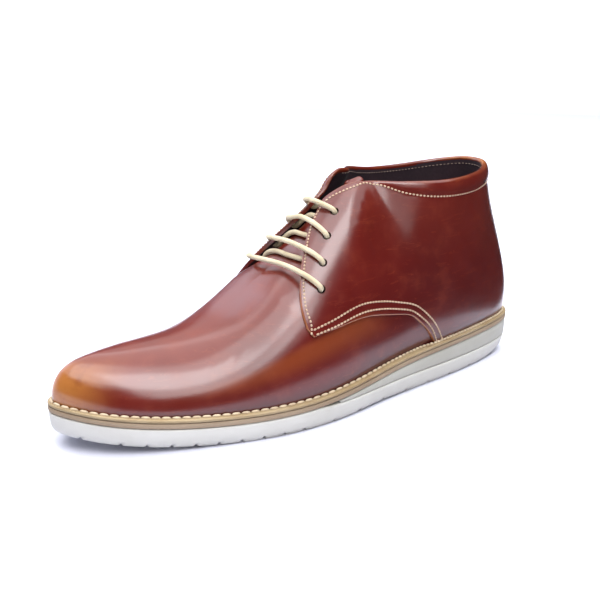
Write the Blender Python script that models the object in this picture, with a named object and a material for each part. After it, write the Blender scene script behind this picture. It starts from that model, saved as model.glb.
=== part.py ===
"""Lace-up ankle boot (derby chukka), one left shoe, standing on its sole.

Sizes are in millimetres in the last's own frame: x runs forward from just inside the heel's back, y to the
shoe's left (its outer, lateral side) and z up from the floor. world() turns them into metres with the
origin under the middle of the bounding box. The wall of the shoe is one function, last_surface(u, v):
u goes round the foot (0 heel back, +1 or -1 toe tip, lateral side positive) and v climbs from the
feather line (0) to the cone or the instep ridge (1). Every leather piece is a sheet cut from it.
"""

import math

import bmesh
import bpy
import numpy as np
from mathutils import Vector
from mathutils.geometry import delaunay_2d_cdt

MM = 0.001

# ---------------- driving sizes ----------------
HEEL_BACK, HEEL_BACK_Y = -6.5, -3.0
TOE_TIP, TOE_TIP_Y = 306.0, -1.0
SOLE_SECTIONS = (
    # x, lateral half width, medial half width
    (-1, 16.5, 21.0), (8, 22.0, 27.0), (25, 27.0, 32.0), (62, 35.0, 33.0), (105, 42.0, 28.0), (150, 51.5, 34.0),
    (190, 53.5, 44.5), (228, 46.0, 43.0), (262, 35.5, 37.0), (287, 22.5, 26.0), (300, 10.5, 13.5),
)
WELT_TOP = (
    # x, height of the welt's top above the floor, toe spring not counted
    (0, 26.3), (40, 25.8), (75, 24.8), (105, 23.0), (140, 19.8), (170, 17.4), (205, 16.6), (260, 16.4),
    (306, 16.2),
)
TOE_SPRING, TOE_SPRING_START = 10.4, 205.0
HEEL_SPRING, HEEL_SPRING_START = 2.4, 48.0
WAIST_LIFT = 1.0
WAIST_START, WAIST_END = 92.0, 158.0
GAP = 0.3

WELT_THICK = 1.9
WELT_CLEARANCE = 1.1
MIDSOLE_THICK = 3.0
OUTSOLE_HEEL, OUTSOLE_BALL = 10.2, 10.9
WEDGE_END = 163.0
HEEL_BEVEL = 4.5
SIDE_BEVEL = 1.4
BEVEL_HEIGHT = 4.6
TREAD_EDGE = 1.2
TOP_EDGE = 1.0
WEDGE_TIP = 5.0
WEDGE_LEAST = 0.05
SIDE_EDGE = 0.5
WELT_HEAD_EDGE = 0.9
INSOLE_EDGE = 0.8
GROOVE_DEPTH = 2.2
GROOVE_MOUTH, GROOVE_FLOOR = 2.6, 1.4
HEEL_GROOVE_FIRST, HEEL_GROOVE_PITCH, HEEL_GROOVES = 42.0, 20.0, 8
TOE_GROOVE_FIRST, TOE_GROOVE_PITCH, TOE_GROOVES = 194.0, 12.0, 8
TOE_GROOVE_LAST = 295.0

# ---------------- the last ----------------
LEDGE = (
    # s, how far the last's feather line lies inside the sole's edge
    (0, 5.2), (0.313, 5.2), (0.490, 4.0), (0.853, 3.8), (1.0, 2.8),
)
LAST_SECTIONS = (
    # s, top x, top y lateral, top y medial, top z, rise, crown lateral, crown medial, flare lateral,
    # flare medial
    (0.00, 18.0, -3.0, -3.0, 140.0, 0.30, 0.50, 0.50, 0.17, 0.17),
    (0.088, 22.5, 9.0, -16.0, 140.0, 0.30, 0.50, 0.50, 0.23, 0.22),
    (0.156, 35.0, 19.0, -26.0, 140.0, 0.32, 0.48, 0.48, 0.26, 0.22),
    (0.235, 54.0, 27.0, -30.5, 140.0, 0.34, 0.45, 0.45, 0.22, 0.22),
    (0.313, 76.0, 28.5, -29.0, 140.0, 0.36, 0.40, 0.40, 0.15, 0.28),
    (0.382, 96.0, 20.5, -22.0, 140.0, 0.36, 0.40, 0.40, 0.12, 0.30),
    (0.441, 107.0, 9.5, -14.0, 139.0, 0.38, 0.42, 0.36, 0.10, 0.28),
    (0.490, 114.0, 0.0, 0.0, 135.5, 0.40, 0.45, 0.33, 0.08, 0.20),
    (0.539, 130.0, -0.5, -0.5, 121.8, 0.42, 0.50, 0.28, 0.06, 0.08),
    (0.588, 147.0, -1.0, -1.0, 107.2, 0.44, 0.54, 0.32, 0.05, 0.04),
    (0.637, 164.0, -1.8, -1.8, 91.0, 0.46, 0.56, 0.47, 0.05, 0.05),
    (0.696, 184.0, -2.5, -2.5, 71.5, 0.50, 0.58, 0.55, 0.05, 0.05),
    (0.755, 204.0, -3.0, -3.0, 57.2, 0.55, 0.60, 0.60, 0.05, 0.05),
    (0.814, 224.0, -3.2, -3.2, 50.8, 0.60, 0.62, 0.62, 0.05, 0.05),
    (0.882, 247.0, -3.0, -3.0, 49.2, 0.62, 0.64, 0.64, 0.06, 0.06),
    (0.951, 269.0, -2.2, -2.2, 48.6, 0.64, 0.66, 0.66, 0.10, 0.10),
    (1.00, 276.0, -1.6, -1.6, 48.4, 0.66, 0.68, 0.68, 0.14, 0.14),
)
COLLAR_LEAN = 0.10

# ---------------- leather ----------------
VAMP_THICK = 2.2
QUARTER_OUT = 1.8
QUARTER_IN = 1.2
FLAP_IN = 0.6
COLLAR_PAD = 1.3
BACKSTAY_OUT = 2.5
TONGUE_THICK = 1.8
TONGUE_DIP = 5.2
FLAP_DIP = 1.5
INSOLE_THICK = 3.0
INSOLE_INSET = 7.4

TOPLINE = (
    # s, height of the rim lateral, medial
    (0.00, 129.1, 129.1), (0.05, 128.8, 129.0), (0.10, 127.4, 127.9), (0.15, 126.5, 126.2), (0.20, 125.9, 124.8),
    (0.27, 125.4, 124.1), (0.32, 125.4, 124.8), (0.36, 125.6, 126.6), (0.40, 125.8, 128.6), (0.44, 126.2, 129.8),
    (0.48, 126.3, 130.4), (0.51, 126.2, 129.5),
)
TOP_CORNER = (
    # s, v lateral, v medial: from the rim forward to the flap's top corner
    (0.523, 0.872, 0.935), (0.536, 0.912, 0.942), (0.549, 0.948, 0.950),
)
MEDIAL_LIFT = 3.0
FACING = (
    # s lateral, s medial, v: the flap's front edge, from its top corner down to its low corner
    (0.558, 0.558, 0.960), (0.588, 0.589, 0.885), (0.609, 0.610, 0.790), (0.618, 0.621, 0.700),
    (0.622, 0.628, 0.610), (0.621, 0.631, 0.520), (0.614, 0.628, 0.425), (0.600, 0.615, 0.330),
)
FLAP_CORNER = ((0.586, 0.604, 0.283),)
FLAP_FOOT = (
    # s lateral, s medial, v: the flap's lower edge, from the low corner back to the welt
    (0.553, 0.568, 0.271), (0.500, 0.514, 0.254), (0.436, 0.446, 0.256), (0.372, 0.380, 0.236),
    (0.336, 0.343, 0.174), (0.305, 0.311, 0.090), (0.282, 0.287, 0.0),
)
SEAM = (
    # s, v: where the vamp stops under the flaps and the tongue starts
    (0.706, 1.0), (0.691, 0.80), (0.662, 0.60), (0.632, 0.46),
)
SEAM_GAP = 0.004
VAMP_REAR = (
    # s, v: the vamp's hidden rear edge, from the seam back to the welt
    (0.603, 0.39), (0.549, 0.36), (0.490, 0.345), (0.431, 0.345), (0.372, 0.330), (0.313, 0.27),
    (0.264, 0.17), (0.240, 0.08), (0.230, 0.0),
)
TONGUE_TOE = ((0.627, 0.475), (0.615, 0.462))
TONGUE_SIDE = (
    # s lateral, s medial, v: the tongue's hidden side edge, upwards to its rounded top
    (0.608, 0.608, 0.468), (0.593, 0.593, 0.510), (0.586, 0.586, 0.580), (0.578, 0.578, 0.660),
    (0.564, 0.564, 0.740), (0.540, 0.545, 0.795), (0.506, 0.528, 0.815), (0.482, 0.522, 0.835),
    (0.474, 0.519, 0.850), (0.480, 0.517, 0.872), (0.500, 0.516, 0.915), (0.512, 0.516, 0.960),
    (0.517, 0.517, 1.0),
)
EYELETS = (
    # s, v, from the top pair down
    (0.552, 0.783), (0.571, 0.695), (0.580, 0.582), (0.581, 0.468),
)
EYELET_RADIUS = 2.3

# ---------------- lace ----------------
LACE_RADIUS = 1.45
LACE_OVER = QUARTER_OUT + LACE_RADIUS + 0.5
LACE_UNDER = -2.9
BARS = (
    # s, v where each bar passes the flap's front edge: lateral, then medial, from the top bar down
    (0.574, 0.920, 0.574, 0.920), (0.592, 0.868, 0.596, 0.868), (0.613, 0.755, 0.619, 0.770),
    (0.623, 0.640, 0.639, 0.680),
)
BAR_ARCH = (0.6, 0.0, 1.2)
UNDER_CROSSINGS = (0.583, 0.612, 0.643)
LACE_STEPS = 2

COLOURS = {
    "outsole": ((0.83, 0.81, 0.74), 0.6),
    "wedge": ((0.46, 0.40, 0.32), 0.7),
    "midsole": ((0.50, 0.30, 0.17), 0.6),
    "welt": ((0.52, 0.31, 0.13), 0.5),
    "upper": ((0.26, 0.055, 0.025), 0.25),
    "tongue": ((0.27, 0.06, 0.03), 0.3),
    "insole": ((0.05, 0.025, 0.03), 0.8),
    "lace": ((0.78, 0.66, 0.44), 0.6),
}


# ---------------- curves and the last ----------------
def spline(knots, values):
    """The natural cubic through the rows, as a function of the knot value."""
    k = np.array(knots, float)
    y = np.array(values, float)
    h = np.diff(k)
    n = len(k)
    a = np.eye(n)
    b = np.zeros(n)
    for i in range(1, n - 1):
        a[i, i - 1:i + 2] = h[i - 1], 2 * (h[i - 1] + h[i]), h[i]
        b[i] = 6 * ((y[i + 1] - y[i]) / h[i] - (y[i] - y[i - 1]) / h[i - 1])
    m = np.linalg.solve(a, b)

    def at(t):
        t = np.asarray(t, float)
        i = np.clip(np.searchsorted(k, t, side="right") - 1, 0, n - 2)
        p, q = k[i + 1] - t, t - k[i]
        bend = (m[i] * p ** 3 + m[i + 1] * q ** 3) / (6 * h[i])
        return bend + (y[i] / h[i] - m[i] * h[i] / 6) * p + (y[i + 1] / h[i] - m[i + 1] * h[i] / 6) * q

    return at


def closed_spline(knots, values, period):
    """A periodic cubic: rows are repeated on both sides of the one period that is read."""
    wrap = 6
    k = [t - period for t in knots[-wrap:]] + list(knots) + [t + period for t in knots[:wrap]]
    y = list(values[-wrap:]) + list(values) + list(values[:wrap])
    return spline(k, y)


def path_spline(points, rows):
    """Points of a smooth open curve through the given ones; rows counts along them, fractions included."""
    p = np.array(points, float)
    chord = np.concatenate([[0], np.cumsum(np.linalg.norm(np.diff(p, axis=0), axis=1))])
    at_chord = np.interp(rows, np.arange(len(p)), chord)
    return np.stack([spline(chord, p[:, i])(at_chord) for i in range(p.shape[1])], -1)


def even_path(points, count):
    """count points of the smooth curve through the given ones."""
    return [tuple(p) for p in path_spline(points, np.linspace(0, len(points) - 1, count))]


def smooth(start, end, x):
    t = np.clip((np.asarray(x, float) - start) / (end - start), 0, 1)
    return t * t * (3 - 2 * t)


def outline_sides(n=400):
    """Per side, heel back to toe tip: fraction of the length, x, y and the outward normal."""
    points = [(HEEL_BACK, HEEL_BACK_Y)]
    points += [(x, lateral) for x, lateral, medial in SOLE_SECTIONS]
    points += [(TOE_TIP, TOE_TIP_Y)]
    points += [(x, -medial) for x, lateral, medial in reversed(SOLE_SECTIONS)]
    p = np.array(points)
    knots = np.concatenate([[0], np.cumsum(np.linalg.norm(np.roll(p, -1, 0) - p, axis=1))])
    period = knots[-1]
    fx = closed_spline(list(knots[:-1]), list(p[:, 0]), period)
    fy = closed_spline(list(knots[:-1]), list(p[:, 1]), period)
    toe = knots[len(SOLE_SECTIONS) + 1]
    step = 1e-3
    sides = []
    for start in (0.0, period):
        t = np.linspace(start, toe, n)
        x, y = fx(t), fy(t)
        length = np.concatenate([[0], np.cumsum(np.hypot(np.diff(x), np.diff(y)))])
        dx, dy = fx(t + step) - fx(t - step), fy(t + step) - fy(t - step)
        size = np.hypot(dx, dy)
        sides.append((length / length[-1], x, y, -dy / size, dx / size))
    return sides


SIDES = outline_sides()
WELT_CURVE = spline([x for x, z in WELT_TOP], [z for x, z in WELT_TOP])


def fold(u):
    return (np.asarray(u, float) + 1) % 2 - 1


def edge_of_sole(u, inset=0.0):
    """x, y on the outline moved inward by inset, and the outward normal there."""
    w = fold(u)
    both = [[np.interp(np.abs(w), side[0], column) for column in side[1:]] for side in SIDES]
    x, y, nx, ny = (np.where(w >= 0, lateral, medial) for lateral, medial in zip(*both))
    return x - nx * inset, y - ny * inset, nx, ny


def spring(x):
    """How far the toe and the very back of the heel curl up from the floor."""
    x = np.asarray(x, float)
    toe = np.clip(x - TOE_SPRING_START, 0, None) / (TOE_TIP - TOE_SPRING_START)
    heel = np.clip(HEEL_SPRING_START - x, 0, None) / (HEEL_SPRING_START - HEEL_BACK)
    return TOE_SPRING * toe ** 2 + HEEL_SPRING * heel ** 2


def tread(x):
    """Height of the sole's underside: flat under heel and ball, lifted at the waist, toe and heel back."""
    waist = np.clip((np.asarray(x, float) - WAIST_START) / (WAIST_END - WAIST_START), 0, 1)
    return spring(x) + WAIST_LIFT * np.sin(math.pi * waist) ** 2


def welt_top(x):
    return WELT_CURVE(np.clip(x, 0, TOE_TIP)) + spring(x)


def midsole_top(x):
    return welt_top(x) - WELT_THICK - GAP


def midsole_bottom(x):
    return midsole_top(x) - MIDSOLE_THICK


def upper_foot(x):
    """Height at which the upper, the welt and the insole start."""
    return midsole_top(x) + GAP


def wedge_bottom(x):
    share = np.asarray(x, float) / WEDGE_END
    return OUTSOLE_HEEL + (OUTSOLE_BALL - OUTSOLE_HEEL) * share + GAP + spring(np.minimum(x, WEDGE_END))


def outsole_top(x):
    """Under the wedge, then ramped up to the midsole just ahead of the wedge's front edge."""
    low = wedge_bottom(x) - GAP
    high = midsole_bottom(x) - GAP
    return low + (high - low) * smooth(WEDGE_END, WEDGE_END + 10, x)


def last_column(index, medial_index=None):
    """One column of LAST_SECTIONS as a closed curve over u, with its own values on the medial side."""
    medial_index = index if medial_index is None else medial_index
    pairs = [(-row[0], row[medial_index]) for row in reversed(LAST_SECTIONS[1:])]
    pairs += [(row[0], row[index]) for row in LAST_SECTIONS[:-1]]
    return closed_spline([k for k, _ in pairs], [v for _, v in pairs], 2.0)


TOP_X, TOP_Y, TOP_Z = last_column(1), last_column(2, 3), last_column(4)
RISE, CROWN, FLARE = last_column(5), last_column(6, 7), last_column(8, 9)


def last_surface(u, v):
    """The last's wall: a Bezier section from the feather line up to the cone or the instep ridge."""
    u, v = np.broadcast_arrays(np.asarray(u, float), np.asarray(v, float))
    w = fold(u)
    s = np.abs(w)
    ledge = np.interp(s, [row[0] for row in LEDGE], [row[1] for row in LEDGE])
    fx, fy, nx, ny = edge_of_sole(w, ledge)
    fz = upper_foot(fx)
    tx, ty, tz = TOP_X(w), TOP_Y(w), TOP_Z(w)
    rise = RISE(w) * (tz - fz)
    low = (fx + rise * FLARE(w) * nx, fy + rise * FLARE(w) * ny, fz + rise)
    fall = CROWN(w) * (tz - fz)
    collar = (tx + fall * COLLAR_LEAN * nx, ty + fall * COLLAR_LEAN * ny, tz - fall)
    ahead = (fx - tx) * smooth(0.80, 1.0, s)
    ridge = (tx + CROWN(w) * ahead, ty + CROWN(w) * (fy - ty), tz)
    turn = smooth(0.37, 0.53, s)
    high = [c * (1 - turn) + r * turn for c, r in zip(collar, ridge)]
    weights = ((1 - v) ** 3, 3 * v * (1 - v) ** 2, 3 * v * v * (1 - v), v ** 3)
    corners = ((fx, fy, fz), low, high, (tx, ty, tz))
    return sum(weight[..., None] * np.stack(corner, -1) for weight, corner in zip(weights, corners))


def last_normal(u, v, step=1e-4):
    u, v = np.asarray(u, float), np.asarray(v, float)
    along = last_surface(u + step, v) - last_surface(u - step, v)
    up = last_surface(u, v + step) - last_surface(u, v - step)
    normal = np.cross(up, along)
    return normal / np.linalg.norm(normal, axis=-1, keepdims=True)


def shell(u, v, out):
    """A point out millimetres outside the last."""
    u, v, out = np.broadcast_arrays(np.asarray(u, float), np.asarray(v, float), np.asarray(out, float))
    points = last_surface(u, v) + last_normal(u, v) * out[..., None]
    points[..., 2] = np.maximum(points[..., 2], upper_foot(points[..., 0]))
    return points


SHIFT = np.array([
    (edge_of_sole(np.linspace(-1, 1, 801))[0].min() + edge_of_sole(np.linspace(-1, 1, 801))[0].max()) / 2,
    (edge_of_sole(np.linspace(-1, 1, 801))[1].min() + edge_of_sole(np.linspace(-1, 1, 801))[1].max()) / 2,
    0.0,
])


def world(points):
    return (np.asarray(points, float) - SHIFT) * MM


# ---------------- mesh helpers ----------------
def clear_scene():
    for obj in list(bpy.data.objects):
        bpy.data.objects.remove(obj, do_unlink=True)


def material_for(name):
    colour, roughness = COLOURS[name]
    material = bpy.data.materials.new(name)
    material.use_nodes = True
    shader = material.node_tree.nodes["Principled BSDF"]
    shader.inputs["Base Color"].default_value = (*colour, 1.0)
    shader.inputs["Roughness"].default_value = roughness
    shader.inputs["Metallic"].default_value = 0.0
    return material


def mesh_object(name, points, faces):
    mesh = bpy.data.meshes.new(name)
    mesh.from_pydata([tuple(p) for p in world(points)], [], [tuple(f) for f in faces])
    shape = bmesh.new()
    shape.from_mesh(mesh)
    bmesh.ops.recalc_face_normals(shape, faces=shape.faces)
    shape.to_mesh(mesh)
    shape.free()
    obj = bpy.data.objects.new(name, mesh)
    bpy.context.collection.objects.link(obj)
    return obj


def as_cutter(obj):
    obj.hide_render = True
    obj.display_type = "WIRE"
    return obj


def boolean(obj, tool, operation):
    modifier = obj.modifiers.new(operation.lower() + "_" + tool.name, "BOOLEAN")
    modifier.operation = operation
    modifier.object = tool
    modifier.solver = "EXACT"


def finish(obj, name, smooth_angle=35.0):
    obj.data.materials.append(material_for(name))
    obj.data.shade_smooth()
    obj.data.set_sharp_from_angle(angle=math.radians(smooth_angle))


# ---------------- sole: slabs stacked from closed loops ----------------
RING = 44


def ring_fractions():
    """u of the loop points, heel back first, then lateral to the toe and back along the medial side."""
    t = np.linspace(0, 1, RING + 1)
    s = t - 0.07 * np.sin(2 * math.pi * t)
    return np.concatenate([s, -s[-2:0:-1]])


def loop(inset, height):
    """A closed loop of points; inset and height are numbers or functions of (x, u) and of x."""
    u = ring_fractions()
    x, y, nx, ny = edge_of_sole(u)
    depth = inset(x, u) if callable(inset) else np.full(len(u), float(inset))
    px, py = x - nx * depth, y - ny * depth
    return np.stack([px, py, height(px)], -1)


def ladder(start, count, upward):
    """Faces across a closed loop: its lateral and medial points are joined like a ladder."""
    faces = []
    half = count // 2
    for i in range(half):
        a, b = start + i, start + i + 1
        c, d = start + (count - i - 1) % count, start + (count - i) % count
        face = [a, b, c, d]
        face = [f for k, f in enumerate(face) if f not in face[:k]]
        faces.append(face[::-1] if upward else face)
    return faces


def slab(name, loops):
    """A solid from closed loops, lowest first, bridged and capped."""
    count = len(loops[0])
    points = np.concatenate(loops)
    faces = ladder(0, count, False)
    for level in range(len(loops) - 1):
        base, top = level * count, (level + 1) * count
        for i in range(count):
            j = (i + 1) % count
            faces.append([base + j, base + i, top + i, top + j])
    faces += ladder((len(loops) - 1) * count, count, True)
    return mesh_object(name, points, faces)


def heel_and_side(amount_side, amount_heel):
    """An inset that grows from the sides towards the back of the heel."""
    def inset(x, u):
        back = 1 - smooth(0.03, 0.18, np.abs(u))
        return amount_side + (amount_heel - amount_side) * back
    return inset


def groove_stations():
    stations = [HEEL_GROOVE_FIRST + HEEL_GROOVE_PITCH * i for i in range(HEEL_GROOVES)]
    stations += [TOE_GROOVE_FIRST + TOE_GROOVE_PITCH * i for i in range(TOE_GROOVES)]
    return stations + [TOE_GROOVE_LAST]


def groove_cutters():
    """One mesh of tapered bars that run across the tread, each set to the local slope."""
    points, faces = [], []
    reach, below = 70.0, 3.0
    for x in groove_stations():
        slope = float(tread(x + 1) - tread(x - 1)) / 2
        z = float(tread(x))
        along = np.array([1, 0, slope]) / math.hypot(1, slope)
        up = np.array([-along[2], 0, along[0]])
        widen = (GROOVE_MOUTH - GROOVE_FLOOR) / GROOVE_DEPTH / 2
        section = [(-GROOVE_FLOOR / 2, GROOVE_DEPTH), (GROOVE_FLOOR / 2, GROOVE_DEPTH),
                   (GROOVE_MOUTH / 2 + widen * below, -below), (-GROOVE_MOUTH / 2 - widen * below, -below)]
        base = len(points)
        for y in (-reach, reach):
            points += [np.array([x, y, z]) + along * a + up * b for a, b in section]
        faces += [[base + k for k in (0, 1, 2, 3)], [base + k for k in (7, 6, 5, 4)]]
        faces += [[base + k for k in (i, i + 4, (i + 1) % 4 + 4, (i + 1) % 4)] for i in range(4)]
    return as_cutter(mesh_object("groove_cutter", points, faces))


def outsole():
    obj = slab("outsole", [
        loop(heel_and_side(SIDE_BEVEL + TREAD_EDGE, HEEL_BEVEL + TREAD_EDGE), tread),
        loop(heel_and_side(SIDE_BEVEL, HEEL_BEVEL), lambda x: tread(x) + TREAD_EDGE),
        loop(heel_and_side(0.5, 2.6), lambda x: tread(x) + BEVEL_HEIGHT),
        loop(heel_and_side(0.2, 0.9), lambda x: outsole_top(x) - TOP_EDGE),
        loop(heel_and_side(0.7, 1.2), outsole_top),
    ])
    boolean(obj, groove_cutters(), "DIFFERENCE")
    finish(obj, "outsole")


def front_half_space(name, x_from):
    """A block that fills everything ahead of a station."""
    x0, x1, y, z = x_from, 340.0, 90.0, 80.0
    points = [(a, b, c) for a in (x0, x1) for b in (-y, y) for c in (-z, z)]
    faces = [(0, 1, 3, 2), (4, 6, 7, 5), (0, 4, 5, 1), (2, 3, 7, 6), (0, 2, 6, 4), (1, 5, 7, 3)]
    return as_cutter(mesh_object(name, points, faces))


def wedge():
    def height(share):
        def at_x(x):
            top = np.maximum(midsole_bottom(x) - GAP, wedge_bottom(x) + WEDGE_LEAST)
            return wedge_bottom(x) * (1 - share) + top * share
        return at_x

    obj = slab("wedge", [
        loop(heel_and_side(0.6, 0.9), height(0.0)),
        loop(heel_and_side(0.3, 0.6), height(0.2)),
        loop(0.3, height(0.8)),
        loop(0.8, height(1.0)),
    ])
    boolean(obj, front_half_space("wedge_front_cutter", WEDGE_END - WEDGE_TIP), "DIFFERENCE")
    finish(obj, "wedge")


def midsole():
    obj = slab("midsole", [
        loop(SIDE_EDGE, midsole_bottom),
        loop(0.0, lambda x: midsole_bottom(x) + SIDE_EDGE),
        loop(0.0, lambda x: midsole_top(x) - SIDE_EDGE),
        loop(SIDE_EDGE, midsole_top),
    ])
    finish(obj, "midsole")


def welt_inner(x, u):
    """The welt's inner edge keeps clear of the upper's foot: quarters stand further out than the vamp."""
    s = np.abs(fold(u))
    ledge = np.interp(s, [row[0] for row in LEDGE], [row[1] for row in LEDGE])
    quarter = QUARTER_OUT * (1 - smooth(0.28, 0.32, s))
    return ledge - quarter - WELT_CLEARANCE


def welt():
    """A ring: outer and inner loops at three heights, with a rounded outer edge."""
    loops = [
        loop(SIDE_EDGE, upper_foot), loop(0.0, lambda x: upper_foot(x) + SIDE_EDGE),
        loop(SIDE_EDGE / 2, lambda x: welt_top(x) - SIDE_EDGE), loop(WELT_HEAD_EDGE, welt_top),
        loop(welt_inner, welt_top), loop(welt_inner, upper_foot),
    ]
    count = len(loops[0])
    faces = []
    for level in range(len(loops)):
        base, top = level * count, (level + 1) % len(loops) * count
        faces += [[base + (i + 1) % count, base + i, top + i, top + (i + 1) % count] for i in range(count)]
    finish(mesh_object("welt", np.concatenate(loops), faces), "welt")


def insole():
    obj = slab("insole", [
        loop(INSOLE_INSET, upper_foot),
        loop(INSOLE_INSET, lambda x: upper_foot(x) + INSOLE_THICK - INSOLE_EDGE),
        loop(INSOLE_INSET + INSOLE_EDGE, lambda x: upper_foot(x) + INSOLE_THICK),
    ])
    finish(obj, "insole")


# ---------------- leather sheets cut from the last ----------------
U_METRIC, V_METRIC = 370.0, 110.0
LATTICE_U = 34
LATTICE_V = 13
FOOT_CELLS_VAMP, FOOT_CELLS_QUARTER = 58, 24
CLEARANCE = 2.6


def lattice():
    """Points spread over the wall, closer together at the heel and the toe."""
    t = np.linspace(0, 1, LATTICE_U + 1)
    s = t - 0.05 * np.sin(2 * math.pi * t)
    u = np.concatenate([-s[:0:-1], s, 2 - s[-2::-1]])
    v = np.linspace(0, 1, LATTICE_V + 1)
    return [(a, b) for a in u for b in v[1:-1]]


def resample(points, spacing):
    """The path with extra points wherever a step is long; its last point is left out."""
    out = []
    for a, b in zip(points, points[1:]):
        size = math.hypot((b[0] - a[0]) * U_METRIC, (b[1] - a[1]) * V_METRIC)
        pieces = max(1, round(size / spacing))
        out += [(a[0] + (b[0] - a[0]) * i / pieces, a[1] + (b[1] - a[1]) * i / pieces) for i in range(pieces)]
    return out


def triangulate(polygon):
    """(points, triangles) of the polygon in (u, v), with lattice points inside it."""
    edge = np.array(polygon) * (U_METRIC, V_METRIC)
    ends = np.roll(edge, -1, 0)
    span = ends - edge
    keep = []
    for u, v in lattice():
        p = np.array((u * U_METRIC, v * V_METRIC))
        t = np.clip(((p - edge) * span).sum(1) / (span ** 2).sum(1), 0, 1)
        gap = np.linalg.norm(edge + span * t[:, None] - p, axis=1).min()
        if gap > CLEARANCE:
            keep.append(p)
    coords = [Vector(p) for p in edge] + [Vector(p) for p in keep]
    done = delaunay_2d_cdt(coords, [], [list(range(len(edge)))], 1, 1e-6)
    used = sorted({i for face in done[2] for i in face})
    order = {old: new for new, old in enumerate(used)}
    points = [(done[0][i][0] / U_METRIC, done[0][i][1] / V_METRIC) for i in used]
    return points, [[order[i] for i in face] for face in done[2]]


def sheet(name, polygons, inner, outer):
    """A curved slab between two offsets of the last, over the given regions of (u, v).

    Points on the instep ridge (v = 1) belong to both sides of the shoe, so they are shared.
    """
    index, uv, faces = {}, [], []
    for polygon in polygons:
        points, triangles = triangulate(polygon)
        ids = []
        for u, v in points:
            on_ridge = v > 1 - 1e-6
            key = (round(abs(float(fold(u))), 5), 1.0) if on_ridge else (round(u, 6), round(v, 6))
            if key not in index:
                index[key] = len(uv)
                uv.append((abs(float(fold(u))) if on_ridge else u, v))
            ids.append(index[key])
        for triangle in triangles:
            face = [ids[i] for i in triangle]
            if len(set(face)) == 3:
                faces.append(face)
    u, v = np.array([p[0] for p in uv]), np.array([p[1] for p in uv])
    low, high = shell(u, v, inner(u, v)), shell(u, v, outer(u, v))
    count = len(uv)
    edges = {}
    for face in faces:
        for a, b in zip(face, face[1:] + face[:1]):
            edges[(a, b)] = edges.get((a, b), 0) + 1
    # increasing u then v turns the face towards the inside, so the outer side is reversed
    solid = [face[::-1] for face in [[i + count for i in f] for f in faces]] + faces
    for a, b in edges:
        if (b, a) not in edges:
            solid.append([b, a, a + count, b + count][::-1])
    return mesh_object(name, np.concatenate([low, high]), solid)


def rim_v(u, height):
    """v where the wall's outer face reaches the given height."""
    v = np.linspace(0.4, 1.0, 121)
    z = shell(np.full(len(v), float(u)), v, QUARTER_OUT)[:, 2]
    return float(np.interp(height, z, v))


RIM_HEIGHTS = [spline([row[0] for row in TOPLINE], [row[side] for row in TOPLINE]) for side in (1, 2)]


def rim_height(u):
    """Height of the rim; its lateral and medial courses differ."""
    return float(RIM_HEIGHTS[0](abs(u)) if u >= 0 else RIM_HEIGHTS[1](abs(u)))


def topline(sign):
    """(u, v) of the rim from the heel back forward to the flap's top corner."""
    s = np.linspace(0, TOPLINE[-1][0], 22)
    points = [(sign * a, rim_v(sign * a, rim_height(sign * a))) for a in s]
    return points + [(sign * row[0], row[1] if sign > 0 else row[2]) for row in TOP_CORNER]


def side_column(rows, medial):
    return [(-row[1] if medial else row[0], row[-1]) for row in rows]


def flap_edge(medial):
    """(u, v) of the flap's front edge, low corner and lower edge, down to the welt."""
    front = even_path(side_column(FACING, medial), 15)
    foot = even_path(side_column(FLAP_FOOT, medial), 17)
    return front + side_column(FLAP_CORNER, medial) + foot


def quarter_polygon():
    """One region round the heel, from the lateral flap to the medial one."""
    lateral = topline(1) + flap_edge(False)
    medial = topline(-1)[1:] + flap_edge(True)
    foot_from, foot_to = medial[-1][0], lateral[-1][0]
    count = FOOT_CELLS_QUARTER
    foot = [(foot_from + (foot_to - foot_from) * i / count, 0.0) for i in range(1, count)]
    return lateral + foot[::-1] + medial[::-1]


def ridge_fractions(start, end, spacing=0.022):
    count = max(2, round(abs(end - start) / spacing))
    return np.linspace(start, end, count + 1)


def rear_line():
    return resample(list(SEAM), 7.0) + even_path(list(SEAM[-1:]) + list(VAMP_REAR), 18)


def vamp_polygon():
    """From the lateral rear edge round the toe to the medial one; its top edge is the ridge."""
    rear = rear_line()
    ridge = [(s, 1.0) for s in ridge_fractions(SEAM[0][0], 1.0)]
    top = ridge + [(2 - s, v) for s, v in ridge[-2::-1]]
    medial = [(2 - s, v) for s, v in rear[1:]]
    start, end = rear[-1][0], 2 - rear[-1][0]
    count = FOOT_CELLS_VAMP
    foot = [(end + (start - end) * i / count, 0.0) for i in range(1, count)]
    return top + medial + foot + rear[:0:-1]


def seam_s(v):
    rows = sorted((row[1], row[0]) for row in SEAM)
    return np.interp(v, [r[0] for r in rows], [r[1] for r in rows])


def tongue_dip(u, v):
    """How far the tongue lies under the last's line: level with the vamp at the open part of the
    seam, under the flaps at its ends, then low enough to leave room for the lace."""
    under_flap = FLAP_DIP * (1 - smooth(0.58, 0.70, v))
    return np.maximum(under_flap, TONGUE_DIP * smooth(0.0, 0.042, seam_s(v) - SEAM_GAP - np.abs(fold(u))))


def tongue_polygons():
    front = [(s - SEAM_GAP, v) for s, v in SEAM[:-1]] + list(TONGUE_TOE)
    ridge = [(s, 1.0) for s in ridge_fractions(TONGUE_SIDE[-1][0], front[0][0])]
    polygons = []
    for sign in (1, -1):
        side = [(row[0] if sign > 0 else row[1], row[2]) for row in TONGUE_SIDE]
        polygon = ridge + resample(front + side, 7.0)[1:]
        polygons.append([(sign * s, v) for s, v in polygon])
    return polygons


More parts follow.
